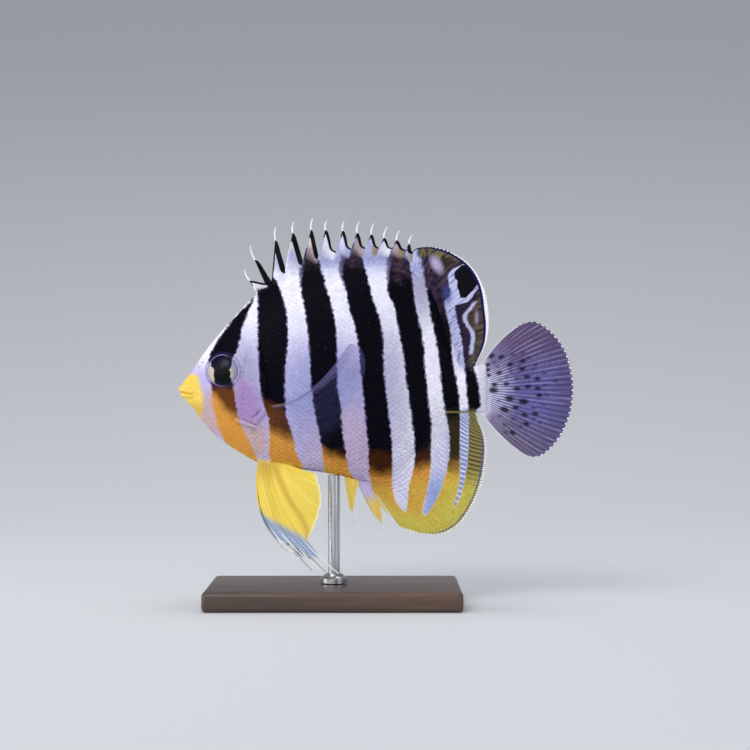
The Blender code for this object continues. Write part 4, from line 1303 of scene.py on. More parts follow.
def makeAnalMarks():
    p = analPaint
    tree, takes, gives = newGroup("analMarks", (("Place", "Vector", None), ("Spot", "Vector", None)),
                                  (("Colour", "Color"),))
    body = useGroup(fishMarks, Place=takes["Place"], Ragged=0.2)
    bar = body["Bar"]
    x, z = splitPlace(takes["Place"])
    s, t, gap = split(takes["Spot"])
    grain = streaks(takes["Spot"], 60.0, 2.0)
    rung = rungs(s, 2 * softAnal["rays"])
    yellow = mix(p["gold"], ramp(gap, 11.0, 4.0), p["yellow"])
    yellow = mix(yellow, ramp(gap, 4.5, 1.0), p["chartreuse"])
    yellow = mix(yellow, rung * ramp(grain, 0.35, 0.6) * 0.55, p["gold"])
    # the pale stripes are laddered by the rays that cross them
    lines = rung * ramp(grain, 0.3, 0.6, 0.35, 0.8) * ramp(x, 54.0, 62.0, 0.3, 1.0)
    pale = mix(p["stripe"], lines * 0.7, p["stripeShade"])
    pale = mix(pale, ramp(gap, 11.0, 5.0) * 0.6, p["stripeTip"])
    pale = mix(pale, ramp(x, 60.5, 64.0) * ramp(z, -17.0, -27.0), p["lowBlue"])
    steel = mix(p["steel"], rung * ramp(grain, 0.35, 0.65, 0.5, 1.0), p["rungWhite"])
    pale = mix(pale, ramp(x, 67.2, 68.8), steel)
    inFin = ramp(grain * 0.2 + t, 0.12, 0.55)
    colour = mix(body["Colour"], (1 - bar) * inFin, pale)
    low = bar * ramp(z, -20.0, -26.0) * ramp(t, 0.05, 0.3)
    colour = mix(colour, low, yellow)
    # the hind part is olive, and the bar before it is tinged with it
    olive = mix(p["olive"], most(rung * 0.9, ramp(grain, 0.55, 0.7)), p["oliveDark"])
    olive = mix(olive, ramp(z, -19.0, -27.0), yellow)
    hind = bar * ramp(x, 70.6, 72.6) * ramp(z, -4.6, -6.0) * ramp(z, -30.0, -25.0)
    colour = mix(colour, hind, olive)
    uneven = grain * 6.0 + z - 3.0
    tinge = bar * within(x, 65.0, 71.4, 0.5) * within(z, -24.0, -7.0, 1.5) * 0.85
    colour = mix(colour, tinge, mix(p["deep"], ramp(uneven, -17.5, -23.5), p["gold"]))
    seam = stroke(z, -5.9, 0.45, 0.3) * within(x, 67.5, 75.0, 0.5)
    colour = mix(colour, seam, p["olive"])
    line = within(gap, 0.55, 1.0, 0.15) * within(s, 0.14, 0.8, 0.06) * 0.8
    colour = mix(colour, line, p["rim"])
    # white dashes at the rays' tips
    reach = rungs(s, softAnal["tips"], -0.6, 0.8)
    reach = reach * 0.42 + 0.1
    colour = mix(colour, ramp(gap - reach, 0.08, -0.08), p["white"])
    feed(gives["Colour"], colour)
    return tree


tailPaint = {
    "base": tint(218, 216, 236),
    "field": tint(92, 88, 142),
    "blue": tint(102, 100, 164),
    "russet": tint(104, 84, 108),
    "grey": tint(112, 102, 116),
    "mauve": tint(90, 80, 118),
    "line": tint(52, 44, 86),
    "light": tint(150, 140, 186),
    "ink": tint(20, 14, 40),
    "white": tint(244, 244, 253),
    # the pale band over the rays' roots ends along this line of (z, x) pairs
    "bandEnd": ((-12.0, 76.0), (-7.4, 77.0), (-5.1, 78.4), (1.0, 78.6), (5.8, 77.2), (10.0, 76.5)),
}


def makeTailMarks():
    p = tailPaint
    tree, takes, gives = newGroup(
        "tailMarks",
        (("Place", "Vector", None), ("Spot", "Vector", None), ("Ink", "Float", 0.0)),
        (("Colour", "Color"),),
    )
    x, z = splitPlace(takes["Place"])
    s, t, gap = split(takes["Spot"])
    grain = streaks(takes["Spot"], 52.0, 2.4)
    colour = mix(p["field"], within(t, 0.45, 0.8, 0.15), p["blue"])
    colour = layered(
        colour,
        (ramp(s, 0.5, 0.12) * ramp(t, 0.2, 0.6, 0.3, 0.85), p["russet"]),
        (ramp(s, 0.62, 0.92) * 0.85, p["grey"]),
        (ramp(t, 0.72, 1.0) * 0.6, p["mauve"]),
    )
    line = rungs(s, 2 * tailFin["rays"]) * ramp(t, 0.25, 0.5) * ramp(grain, 0.3, 0.55) * 0.6
    colour = mix(colour, line, p["line"])
    between = s + 0.25 / tailFin["rays"]
    light = rungs(between, 2 * tailFin["rays"], 0.2, 1.0) * ramp(grain, 0.42, 0.62) * 0.55
    colour = mix(colour, light, p["light"])
    # white rays run on from the pale band at the root
    past = x - xAt(z, p["bandEnd"])
    comb = rungs(between, 2 * tailFin["rays"], -0.3, 0.7)
    run = ramp(past - grain * 6.0, 5.4, -1.4)
    middle = within(s, 0.24, 0.8, 0.12)
    colour = layered(
        colour,
        (ramp(past, 9.0, 0.0) * 0.4, p["light"]),
        (comb * run * middle * 0.9, p["base"]),
        (ramp(past - comb * 1.6, 0.9, -0.9), p["base"]),
        (ramp(takes["Ink"], 0.12, 0.8) * 0.92, p["ink"]),
    )
    edges = most(ramp(s, 0.012, 0.007) * 0.8, ramp(s, 0.984, 0.99))
    colour = mix(colour, edges * ramp(t, 0.99, 0.9), p["white"])
    dash = ramp(gap, 0.36, 0.2) * rungs(s, 2 * tailFin["rays"], 0.2, 0.5)
    colour = mix(colour, dash, p["white"])
    feed(gives["Colour"], colour)
    return tree


dorsalMarks = makeDorsalMarks()
analMarks = makeAnalMarks()
tailMarks = makeTailMarks()


def finFinish(name, marks, shade=1.0, inked=False):
    # webs and rays of one fin share its marks; rays are a little lighter
    material, tree, shader = newFinish(name, 0.38, **finSheen)
    spot = attribute(tree, "finSpot")
    values = {"Ink": attribute(tree, "ink", "Fac")} if inked else {}
    colour = useGroup(marks, Place=placed(tree), Spot=spot, **values)["Colour"]
    joints = ramp(streaks(spot, 30.0, 60.0, 1.0), 0.4, 0.6, 0.9 * shade, 1.08 * shade)
    feed(shader.inputs["Base Color"], mix(colour, 1.0, joints, "MULTIPLY"))
    bumped(shader, streaks(spot, 160.0, 8.0), 0.3, 0.0001)
    return material


def spotInk(points):
    # dark spots on the tail, each drawn out along its ray
    points = points.reshape(-1, 3)
    ink = np.zeros(len(points))
    long, wide = tailFin["spotSize"]
    for size, strength, places in tailFin["spots"]:
        for x, z in places:
            a = math.atan2(z * 0.9, x - 66.0)
            dx, dz = points[:, 0] - x, points[:, 2] - z
            along = (dx * math.cos(a) + dz * math.sin(a)) / (long * size)
            across = (dz * math.cos(a) - dx * math.sin(a)) / (wide * size)
            ink = np.maximum(ink, strength * np.exp(-(along**2 + across**2)))
    return ink


# each fin: its measures, its marks, its slot and node, its rays' seed and how much lighter they are
softFins = {
    "softDorsal": (softDorsal, dorsalMarks, "olive_fin", "dorsal_fin_soft", 5, 1.12),
    "anal": (softAnal, analMarks, "yellow_fin", "anal_fin", 6, 1.1),
    "tail": (tailFin, tailMarks, "grey_fin", "tail_fin", 8, 1.1),
}
for word, (fin, marks, slotName, node, seed, lighter) in softFins.items():
    inked = "spots" in fin
    plant(makeWeb(word + "Web", fin, finFinish(word + "Skin", marks, 1.0, inked)), slotName, node)
    plant(tubes(word + "Rays", rayLines(fin, seed), finFinish(word + "Ray", marks, lighter, inked)),
          slotName)


# The front back fin: twelve spines, each with its own notched web and a white thread at its tip.
# A spine is its root's x, its lean in degrees, the length that carries web, its whole length, how high
# the web stands at the next spine, how wide the black hind edge is and the web's tints, front and hind.
lappetTints = {
    "night": tint(8, 7, 16),
    "cream": tint(236, 228, 212),
    "white": tint(232, 232, 246),
    "sky": tint(212, 216, 246),
    "lavender": tint(178, 180, 222),
    "rose": tint(178, 158, 168),
    "tan": tint(156, 136, 110),
    "olive": tint(150, 140, 108),
}
spinyDorsal = {
    "spines": (
        (19.9, -33.0, 3.8, 6.9, 1.0, 0.5, "white", "white"),
        (22.3, -25.0, 7.4, 11.4, 0.5, 2.0, "night", "night"),
        (23.6, 4.0, 10.9, 14.4, 2.5, 1.35, "cream", "lavender"),
        (26.6, 11.0, 11.4, 14.3, 2.7, 1.3, "cream", "lavender"),
        (30.9, 14.0, 10.6, 13.6, 2.9, 1.05, "cream", "rose"),
        (34.8, 14.0, 9.4, 11.9, 3.1, 0.8, "white", "white"),
        (39.1, 16.0, 8.5, 11.0, 3.3, 0.8, "sky", "lavender"),
        (42.9, 17.0, 7.4, 10.5, 3.3, 0.85, "rose", "rose"),
        (46.3, 20.5, 6.8, 9.7, 3.3, 0.8, "lavender", "tan"),
        (49.5, 24.0, 5.9, 8.9, 3.3, 0.75, "white", "white"),
        (52.8, 25.0, 5.4, 8.1, 3.3, 0.85, "rose", "tan"),
        (56.1, 27.0, 4.9, 7.3, 3.3, 1.1, "lavender", "olive"),
    ),
    "blackSpines": (1, 2),
    "end": (59.0, 8.0),
    "rootDepth": 1.5,
    "clear": 0.3,
    "overlap": 0.35,
    # a hind edge, as shares of the way across and down from apex to notch, and how its black thins,
    # first for the early webs and then for the late ones
    "hindEdge": (
        ((0.0, 0.0), (0.25, 0.1), (0.68, 0.6), (1.0, 1.0)),
        ((0.0, 0.0), (0.2, 0.06), (0.42, 0.4), (0.62, 0.86), (1.0, 1.0)),
    ),
    "thinning": (0.0, 0.5),
    "columns": 18,
    "rows": 34,
    "thick": (0.2, 0.06),
    "girth": 0.34,
    "threadGirth": 0.26,
    "black": tint(6, 5, 12),
    "thread": tint(246, 248, 252),
}
backLine = bodyPoint(allStations(800), np.zeros(800))


def backHeight(x):
    # read from the snout to where the back turns steeply down
    rising = backLine[:520]
    return float(np.interp(x, rising[:, 0], rising[:, 2]))


def leaning(x, lean, length):
    a = math.radians(lean)
    return np.array([x + length * math.sin(a), 0.0, backHeight(x) + length * math.cos(a)])


def spinyFinish(name, shade):
    material, tree, shader = newFinish(name, 0.4, **finSheen)
    spot = attribute(tree, "finSpot")
    marks = useGroup(fishMarks, Place=placed(tree), Ragged=0.25)
    grain = ramp(streaks(spot, 130.0, 5.0), 0.35, 0.65, 0.86 * shade, 1.04 * shade)
    colour = mix(marks["Colour"], attribute(tree, "cover", "Fac"), attribute(tree, "paint"))
    colour = mix(colour, 1.0, grain, "MULTIPLY")
    colour = mix(colour, ramp(attribute(tree, "ink", "Fac"), 0.3, 0.7), spinyDorsal["black"])
    feed(shader.inputs["Base Color"], colour)
    bumped(shader, streaks(spot, 240.0, 6.0), 0.3, 0.0001)
    return material


def threadFinish():
    material, tree, shader = newFinish("whiteThread", 0.4, specular=0.2)
    shade = ramp(cloud(placed(tree), 2500.0), 0.3, 0.7)
    colour = mix(tint(228, 234, 246), shade, spinyDorsal["thread"])
    feed(shader.inputs["Base Color"], colour)
    return material


whiteThread = threadFinish()


def bent(a, b, c, t):
    t = np.asarray(t)[..., None]
    return a * (1 - t) ** 2 + 2 * b * t * (1 - t) + c * t * t


def makeSpinyDorsal():
    d = spinyDorsal
    finish = spinyFinish("spinyWebSkin", 1.0)
    parts, sheets, spineLines, threadLines = [], [], [], []
    u = np.linspace(0, 1, d["columns"])
    v = np.linspace(0, 1, d["rows"])
    for i, (rootX, lean, webLength, wholeLength, notchHeight, blackWidth, front,
            hind) in enumerate(d["spines"]):
        nextX, nextLean = d["spines"][i + 1][:2] if i + 1 < len(d["spines"]) else d["end"]
        deep = leaning(rootX, lean, -d["rootDepth"])
        apex = leaning(rootX, lean, webLength)
        tip = leaning(rootX, lean * 0.9, wholeLength)
        nextDeep = leaning(nextX + d["overlap"], nextLean, -d["rootDepth"])
        notch = leaning(nextX - d["clear"], nextLean, notchHeight)
        late = i > 4
        outline = [apex + (notch - apex) * [across, 0, down] for across, down in d["hindEdge"][late]]
        top = alongLine(outline, u)
        low = deep + (nextDeep - deep) * u[:, None]
        grid = low[:, None] + (top - low)[:, None] * v[None, :, None]
        grid[..., 1] = 0.25 * np.sin(math.pi * u)[:, None] * v[None] * (1 if i % 2 else -1)
        edge = alongLine(outline, np.linspace(0, 1, 80))
        away = nearness(grid.reshape(-1, 3) * [1, 0, 1], edge).reshape(grid.shape[:2])
        # black along the hind edge and right across the top
        fromTop = np.linalg.norm((grid - apex) * [1, 0, 1], axis=-1)
        width = blackWidth * (1 - d["thinning"][late] * u[:, None])
        ink = np.maximum(1 - easeStep(away - width, -0.25, 0.25), 1 - easeStep(fromTop, 0.4, 1.0))
        ink = ink * easeStep(v, 0.12, 0.3)[None]
        half = ((d["thick"][0] * (1 - v) + d["thick"][1] * v) * (1 + 0.1 * (i % 2))
                + fairing(grid, 1, v[None] + 0 * u[:, None]))
        # an early web has a cream strip high on its front; a late one turns tan towards its hind top
        early = np.maximum(easeStep(u, 0.12, 0.32)[:, None], 1 - easeStep(v, 0.62, 0.78)[None])
        blend = (easeStep(0.6 * u[:, None] + 0.4 * v[None], 0.42, 0.72) if late else early)[..., None]
        paint = np.array(lappetTints[front][:3]) * (1 - blend) + np.array(lappetTints[hind][:3]) * blend
        dusk = 0.55 if front == "rose" or hind == "rose" else 0.25
        paint = paint * (1 - dusk + dusk * easeStep(v, 0.25, 0.75))[None, :, None]
        cover = np.broadcast_to(0.94 * easeStep(v, 0.3, 0.65), ink.shape)
        spot = np.stack(np.broadcast_arrays((i + u[:, None]) / len(d["spines"]), v[None], away), -1)
        extra = {"ink": ink, "paint": paint, "cover": cover}
        parts.append(closedSheet(f"lappet{i}", grid, half, spot, finish, extra))
        sheets.append((grid, half))
        t = np.linspace(0, 1, 16)
        path = deep + (apex - deep) * t[:, None]
        girth = d["girth"] * (1 - 0.6 * t)
        inkLine = easeStep(t, 0.75, 0.9)
        spineLines.append((path, girth, np.stack([t * 0 + i / len(d["spines"]), t, 9 * (1 - t)], -1),
                           np.maximum(inkLine, i in d["blackSpines"])))
        sway = (apex + tip) / 2 + np.array([-0.55, 0, 0.0])
        thread = bent(apex, sway, tip, t)
        girth = (d["threadGirth"] * (0.75 + 0.25 * np.sin(math.pi * np.clip(t + 0.25, 0, 1)))
                 * (1 - 0.6 * t**4))
        threadLines.append((thread, girth, np.stack([t * 0, t, t], -1), 0.0))
    plant(joined("spinyWeb", parts), "pale_fin", "dorsal_fin_spiny")
    plant(tubes("dorsalSpines", spineLines, spinyFinish("spineSkin", 1.1), 10), "pale_fin")
    plant(tubes("dorsalThreads", threadLines, whiteThread, 8), "pale_fin")
    return sheets


def joined(name, parts):
    for obj in bpy.context.selected_objects:
        obj.select_set(False)
    for part in parts:
        part.select_set(True)
    bpy.context.view_layer.objects.active = parts[0]
    bpy.ops.object.join()
    parts[0].name = parts[0].data.name = name
    return parts[0]


spinySheets = makeSpinyDorsal()

# The anal fin's three spines, the first two with webs of their own. A web is a row of (root, tip) pairs.
analSpines = {
    "webs": (
        (((41.9, -20.0), (43.6, -33.0)), ((42.8, -20.2), (44.3, -29.3)), ((43.7, -20.4), (44.9, -25.9)),
         ((44.6, -20.5), (45.8, -24.2))),
        (((44.2, -20.4), (51.2, -34.8)), ((45.1, -20.5), (51.3, -32.2)), ((45.9, -20.6), (50.9, -29.6)),
         ((46.8, -20.7), (50.5, -27.8))),
    ),
    "spines": (
        ((41.9, -20.4), (42.6, -25.0), (43.5, -31.0), (44.0, -33.2), (45.0, -34.6)),
        ((44.2, -20.9), (46.6, -26.5), (50.0, -33.0), (52.8, -36.8)),
        ((46.4, -21.3), (49.4, -26.5), (52.6, -31.3), (56.0, -35.4)),
    ),
    "girth": (0.42, 0.2),
    "yellow": tint(232, 200, 92),
    "paleTip": tint(226, 234, 250),
}


def analSpineFinish(name, tipped):
    material, tree, shader = newFinish(name, 0.38, **finSheen)
    marks = useGroup(fishMarks, Place=placed(tree), Ragged=0.2)
    x, z = splitPlace(placed(tree))
    spot = attribute(tree, "finSpot")
    low = most(ramp(z, -26.0, -29.5), ramp(x, 46.0, 45.0) * ramp(z, -20.5, -22.5))
    grain = ramp(streaks(spot, 18.0, 3.0), 0.35, 0.65, 0.86, 1.06)
    colour = mix(marks["Colour"], low, analSpines["yellow"])
    colour = mix(colour, 1.0, grain, "MULTIPLY")
    if tipped:
        tip = ramp(split(spot)[1], 0.62, 0.82)
        colour = mix(colour, tip, analSpines["paleTip"])
    else:
        rim = ramp(split(spot)[2], 0.4, 0.15)
        colour = mix(colour, rim * 0.7, analSpines["paleTip"])
    feed(shader.inputs["Base Color"], colour)
    return material


def makeAnalSpines():
    finish = analSpineFinish("analLappetSkin", False)
    parts = []
    for i, web in enumerate(analSpines["webs"]):
        columns = easeKnots([[*a, *b] for a, b in web], np.linspace(0, len(web) - 1, 22))
        v = np.linspace(0, 1, 34)
        x = columns[:, None, 0] + (columns[:, None, 2] - columns[:, None, 0]) * v
        z = columns[:, None, 1] + (columns[:, None, 3] - columns[:, None, 1]) * v
        y = 0.2 * np.sin(math.pi * np.linspace(0, 1, 22))[:, None] * v * (1 if i else -1)
        grid = np.stack([x, y, z], -1)
        half = np.broadcast_to(0.2 * (1 - v) + 0.06 * v, x.shape)
        length = np.hypot(columns[:, 2] - columns[:, 0], columns[:, 3] - columns[:, 1])[:, None]
        spot = np.stack(np.broadcast_arrays(np.linspace(0, 1, 22)[:, None] + i, v[None], (1 - v) * length),
                        -1)
        parts.append(closedSheet(f"analLappet{i}", grid, half, spot, finish))
    plant(joined("analLappets", parts), "yellow_fin")
    lines = []
    for i, path in enumerate(analSpines["spines"]):
        line = alongLine([(x, 0.0, z) for x, z in path], np.linspace(0, 1, 24))
        t = np.linspace(0, 1, 24)
        thick, thin = analSpines["girth"]
        lines.append((line, thick + (thin - thick) * t**0.8, np.stack([t * 0 + i, t, 9 * (1 - t)], -1),
                      0.0))
    plant(tubes("analSpines", lines, analSpineFinish("analSpineSkin", True), 10), "yellow_fin")


makeAnalSpines()

# Pelvic fins: a fan of fourteen rays, each a curve from the root past a control point to its tip. The
# first four long ones run out in white threads.
pelvicFins = {
    "root": ((20.4, -16.6), (24.6, -18.0)),
    "rays": (
        ((18.4, -33.6), (29.2, -41.1)),
        ((19.9, -33.0), (28.6, -38.8)),
        ((20.5, -33.4), (32.2, -42.4)),
        ((21.6, -33.0), (31.8, -40.6)),
        ((22.4, -33.8), (36.0, -45.6)),
        ((23.4, -33.2), (34.4, -42.2)),
        ((24.2, -34.2), (40.6, -46.4)),
        ((26.0, -29.0), (33.4, -39.1)),
        ((27.0, -25.6), (34.9, -34.0)),
        ((27.6, -24.2), (35.7, -31.2)),
        ((28.2, -22.8), (36.2, -28.2)),
        ((28.6, -21.8), (36.0, -26.0)),
        ((29.0, -20.8), (35.4, -23.9)),
        ((29.2, -20.2), (34.8, -21.6)),
    ),
    "spreadRoot": 1.5,
    "spread": 10.0,
    "swing": {"Left": 0.0, "Right": 5.0},
    "threads": (0, 2, 4, 6),
    "girth": 0.27,
    "yellow": tint(242, 212, 86),
    "bright": tint(254, 234, 118),
    "shade": tint(206, 168, 58),
    "dusk": tint(196, 152, 56),
    "olive": tint(196, 184, 76),
    "blue": tint(150, 166, 200),
    "rim": tint(244, 240, 206),
    "crease": ((-42.0, 34.0), (-34.2, 32.0), (-28.2, 28.2), (-20.8, 24.8), (-16.0, 23.6)),
    "blueEdge": ((18.0, -29.8), (21.2, -31.8), (26.0, -34.4), (29.1, -36.0), (33.1, -38.6), (36.0, -41.5)),
}


def pelvicPoint(side, swing, s, t):
    f = pelvicFins
    last = len(f["rays"]) - 1
    knots = easeKnots([[*control, *tip] for control, tip in f["rays"]], s * last)
    (x0, z0), (x1, z1) = f["root"]
    rootX, rootZ = x0 + (x1 - x0) * s, z0 + (z1 - z0) * s
    x = rootX * (1 - t) ** 2 + 2 * knots[..., 0] * t * (1 - t) + knots[..., 2] * t * t - x0
    z = rootZ * (1 - t) ** 2 + 2 * knots[..., 1] * t * (1 - t) + knots[..., 3] * t * t - z0
    a = math.radians(swing)
    x, z = x * math.cos(a) + z * math.sin(a), z * math.cos(a) - x * math.sin(a)
    # the fan is folded a little along its length
    fold = 0.45 * np.sin(2 * math.pi * (1.6 * s + 0.1)) * np.minimum(t * 2, 1) * (1 - 0.4 * t)
    y = side * (f["spreadRoot"] + math.tan(math.radians(f["spread"])) * -z + fold)
    return np.stack([x + x0, y, z + z0], -1)


def pelvicFinish(name, thready):
    f = pelvicFins
    material, tree, shader = newFinish(name, 0.4, specular=0.2, coat=0.03, coatRough=0.25)
    spot = attribute(tree, "finSpot")
    s, t, gap = split(spot)
    x, z = splitPlace(placed(tree))
    drawnOut = streaks(spot, 34.0, 2.0)
    colour = mix(f["yellow"], ramp(drawnOut, 0.45, 0.7, 0.0, 0.6), f["bright"])
    crease = stroke(x, xAt(z, f["crease"]), 1.6, 1.4)
    colour = layered(
        colour,
        (crease * ramp(z, -18.0, -21.0) * 0.75, f["shade"]),
        # the belly shades the fin's root, and its hind half is duller towards the tips
        (ramp(t, 0.3, 0.05) * 0.7, f["dusk"]),
        (ramp(s, 0.5, 0.95) * ramp(z, -23.0, -33.0) * 0.6, f["olive"]),
    )
    edge = zAt(x, f["blueEdge"])
    wobble = drawnOut * 1.6 - 0.8
    blue = ramp(z + wobble - edge, 1.3, -1.1)
    colour = mix(colour, blue, f["blue"])
    if thready:
        white = blue * ramp(t, 0.6, 0.8)
        colour = mix(colour, white, spinyDorsal["thread"])
    else:
        rear = ramp(gap, 0.8, 0.2) * ramp(s, 0.45, 0.6, 0.5, 0.9)
        colour = mix(colour, rear, f["rim"])
    # the root takes the belly's own colour
    belly = useGroup(fishMarks, Place=placed(tree), Ragged=0.2)["Colour"]
    colour = mix(colour, ramp(t, 0.08, 0.0), belly)
    feed(shader.inputs["Base Color"], colour)
    bumped(shader, streaks(spot, 120.0, 6.0), 0.3, 0.0001)
    return material


def makePelvicFin(word, side, finishes):
    f = pelvicFins
    last = len(f["rays"]) - 1
    s, t = np.meshgrid(np.linspace(0, 1, last * 12 + 1), 1 - (1 - np.linspace(0, 1, 64)) ** 1.3,
                       indexing="ij")
    column = s * last
    reach = np.where(column < 7, 0.915 - 0.085 * np.cos(math.pi * column), 1.0 - 0.012 * pleat(column))
    swing = f["swing"][word]
    grid = pelvicPoint(side, swing, s, t * reach)
    lengths = np.linalg.norm(np.diff(grid, axis=1), axis=-1).sum(1)[:, None]
    half = 0.2 * (1 - t) + 0.05 * t + 0.03 * pleat(column) * (1 - t)
    web = closedSheet("pelvicWeb" + word, grid, half, np.stack([s, t, (1 - t) * lengths], -1), finishes[0])
    plant(web, "yellow_fin", "pelvic_fin_" + word.lower())
    lines = []
    for k in range(2 * last + 1):
        place = k / (2 * last)
        onThread = k % 2 == 0 and k // 2 in f["threads"]
        column = k / 2
        far = 1.0 if onThread else float(0.915 - 0.085 * math.cos(math.pi * column) if column < 7 else 0.99)
        t = np.linspace(0, far, 44)
        line = pelvicPoint(side, swing, np.full_like(t, place), t)
        thick = f["girth"] * (1.1 if onThread else 0.55 if k % 2 == 0 else 0.38)
        girth = thick * (1 - 0.5 * (t / far) ** 2)
        lines.append((line, girth, np.stack([t * 0 + place, t, 9 * (1 - t)], -1), 0.0))
    plant(tubes("pelvicRays" + word, lines, finishes[1]), "yellow_fin")


pelvicSkins = (pelvicFinish("pelvicSkin", False), pelvicFinish("pelvicRay", True))
for word, side in flanks:
    makePelvicFin(word, side, pelvicSkins)

pectoralPaint = {
    "web": tint(96, 92, 168),
    "ray": tint(150, 150, 214),
    "front": tint(120, 114, 170),
    "root": tint(170, 140, 110),
    "webAlpha": 0.035,
    "rayAlpha": 0.03,
}


def pectoralFinish(name, onRay):
    p = pectoralPaint
    material, tree, shader = newFinish(name, 0.35, specular=0.2)
    spot = attribute(tree, "finSpot")
    s, t, gap = split(spot)
    front = ramp(s, 0.13, 0.04)
    base = p["ray"] if onRay else p["web"]
    shade = ramp(streaks(spot, 30.0, 3.0), 0.4, 0.6, 0.85, 1.1)
    colour = mix(mix(base, front, p["front"]), 1.0, shade, "MULTIPLY")
    root = ramp(t, 0.26, 0.12) * ramp(s, 0.09, 0.03)
    feed(shader.inputs["Base Color"], mix(colour, root, p["root"]))
    clear = p["rayAlpha"] if onRay else p["webAlpha"]
    # clearer towards its root, its lower rays and its margin
    thin = (ramp(t, 0.12, 0.5, 0.2, 1.0) * ramp(s, 0.35, 0.95, 1.0, 0.25) * ramp(gap, 0.0, 5.0, 0.35, 1.0)
            * ramp(streaks(spot, 22.0, 1.5), 0.35, 0.65, 0.6, 1.3))
    thin = thin * clear
    apex = ramp(t, 0.5, 0.95) * ramp(s, 0.45, 0.1) * 0.12
    feed(shader.inputs["Alpha"], most(thin, front * 0.24, root * 0.3, apex))
    return material


def makePectoralFin(word, side, finishes):
    fin = dict(pectoralFin, side=side)
    roots = (pectoralFin["roots"][0], pectoralFin["roots"][-1])
    fin["flank"] = [flankAt(x, z) for x, z in roots]
    web = makeWeb("pectoralWeb" + word, fin, finishes[0], perRay=8, thick=(0.16, 0.04))
    plant(web, "clear_fin", "pectoral_fin_" + word.lower())
    plant(tubes("pectoralRays" + word, rayLines(fin, 15), finishes[1], 5), "clear_fin")


pectoralSkins = (pectoralFinish("pectoralSkin", False), pectoralFinish("pectoralRay", True))
for word, side in flanks:
    makePectoralFin(word, side, pectoralSkins)

# Eyes: a flat, wet lens with a dark pupil, a broken tan ring and the bar's black running over it
eyeShape = {
    "radius": 4.2,
    "depth": 1.75,
    "sunk": 0.9,
    "turn": 16.0,
    "tilt": 8.0,
    "pupil": (10.8, 3.6),
    "pupilRadius": 2.15,
    "pupilRise": 0.22,
    "ringRadius": 2.45,
    "grooveRadius": 3.75,
    "rings": 60,
    "sides": 96,
    "black": tint(4, 4, 8),
    "navy": tint(12, 10, 38),
    "tan": tint(196, 178, 150),
    "iris": tint(156, 158, 190),
    "irisFront": tint(186, 180, 180),
    "rim": tint(124, 116, 164),
    "bandFront": ((-2.0, 9.0), (0.5, 8.9), (3.0, 8.8), (5.0, 8.7), (5.6, 8.0), (8.0, 7.9), (10.0, 8.3)),
    "bandRear": ((-2.0, 13.3), (2.4, 13.2), (3.4, 12.4), (4.6, 12.4), (5.4, 13.1), (8.0, 13.3),
                 (10.0, 13.5)),
    "bandEnd": 0.3,
}


def eyeFinish():
    e = eyeShape
    material, tree, shader = newFinish("wetEye", 0.25, specular=0.1, coat=0.06, coatRough=0.05)
    place = placed(tree)
    x, z = seenPlace(place)
    wobble = cloud(place, 1500.0, 2.0) * 0.9 - 0.45
    away, dx, dz = fromCentre(x, z, e["pupil"])
    fleck = cloud(gathered(calc("ARCTAN2", dz, dx)), 14.0, 3.0)
    iris = mix(e["irisFront"], ramp(x, 9.0, 12.5), e["iris"])
    iris = mix(iris, ramp(fleck, 0.4, 0.7, 0.0, 0.35), e["rim"])
    ring = ramp(away - fleck, e["ringRadius"], e["ringRadius"] - 0.3) * ramp(z, 6.6, 5.4)
    colour = mix(iris, ring, e["tan"])
    ragged = x + wobble * 0.7
    front, rear = xAt(z, e["bandFront"]), xAt(z, e["bandRear"])
    band = ramp(ragged - front, -0.15, 0.15) * ramp(rear - ragged, -0.15, 0.15)
    colour = mix(colour, band * ramp(z, e["bandEnd"] - 0.3, e["bandEnd"] + 0.3), e["navy"])
    pupil = ramp(wobble * 0.35 + away, e["pupilRadius"] + 0.12, e["pupilRadius"] - 0.12)
    colour = mix(colour, pupil, e["black"])
    edge = fromCentre(*splitPlace(place), headDetail["eye"])[0]
    feed(shader.inputs["Base Color"], mix(colour, ramp(edge, 3.7, 4.0), e["rim"]))
    return material


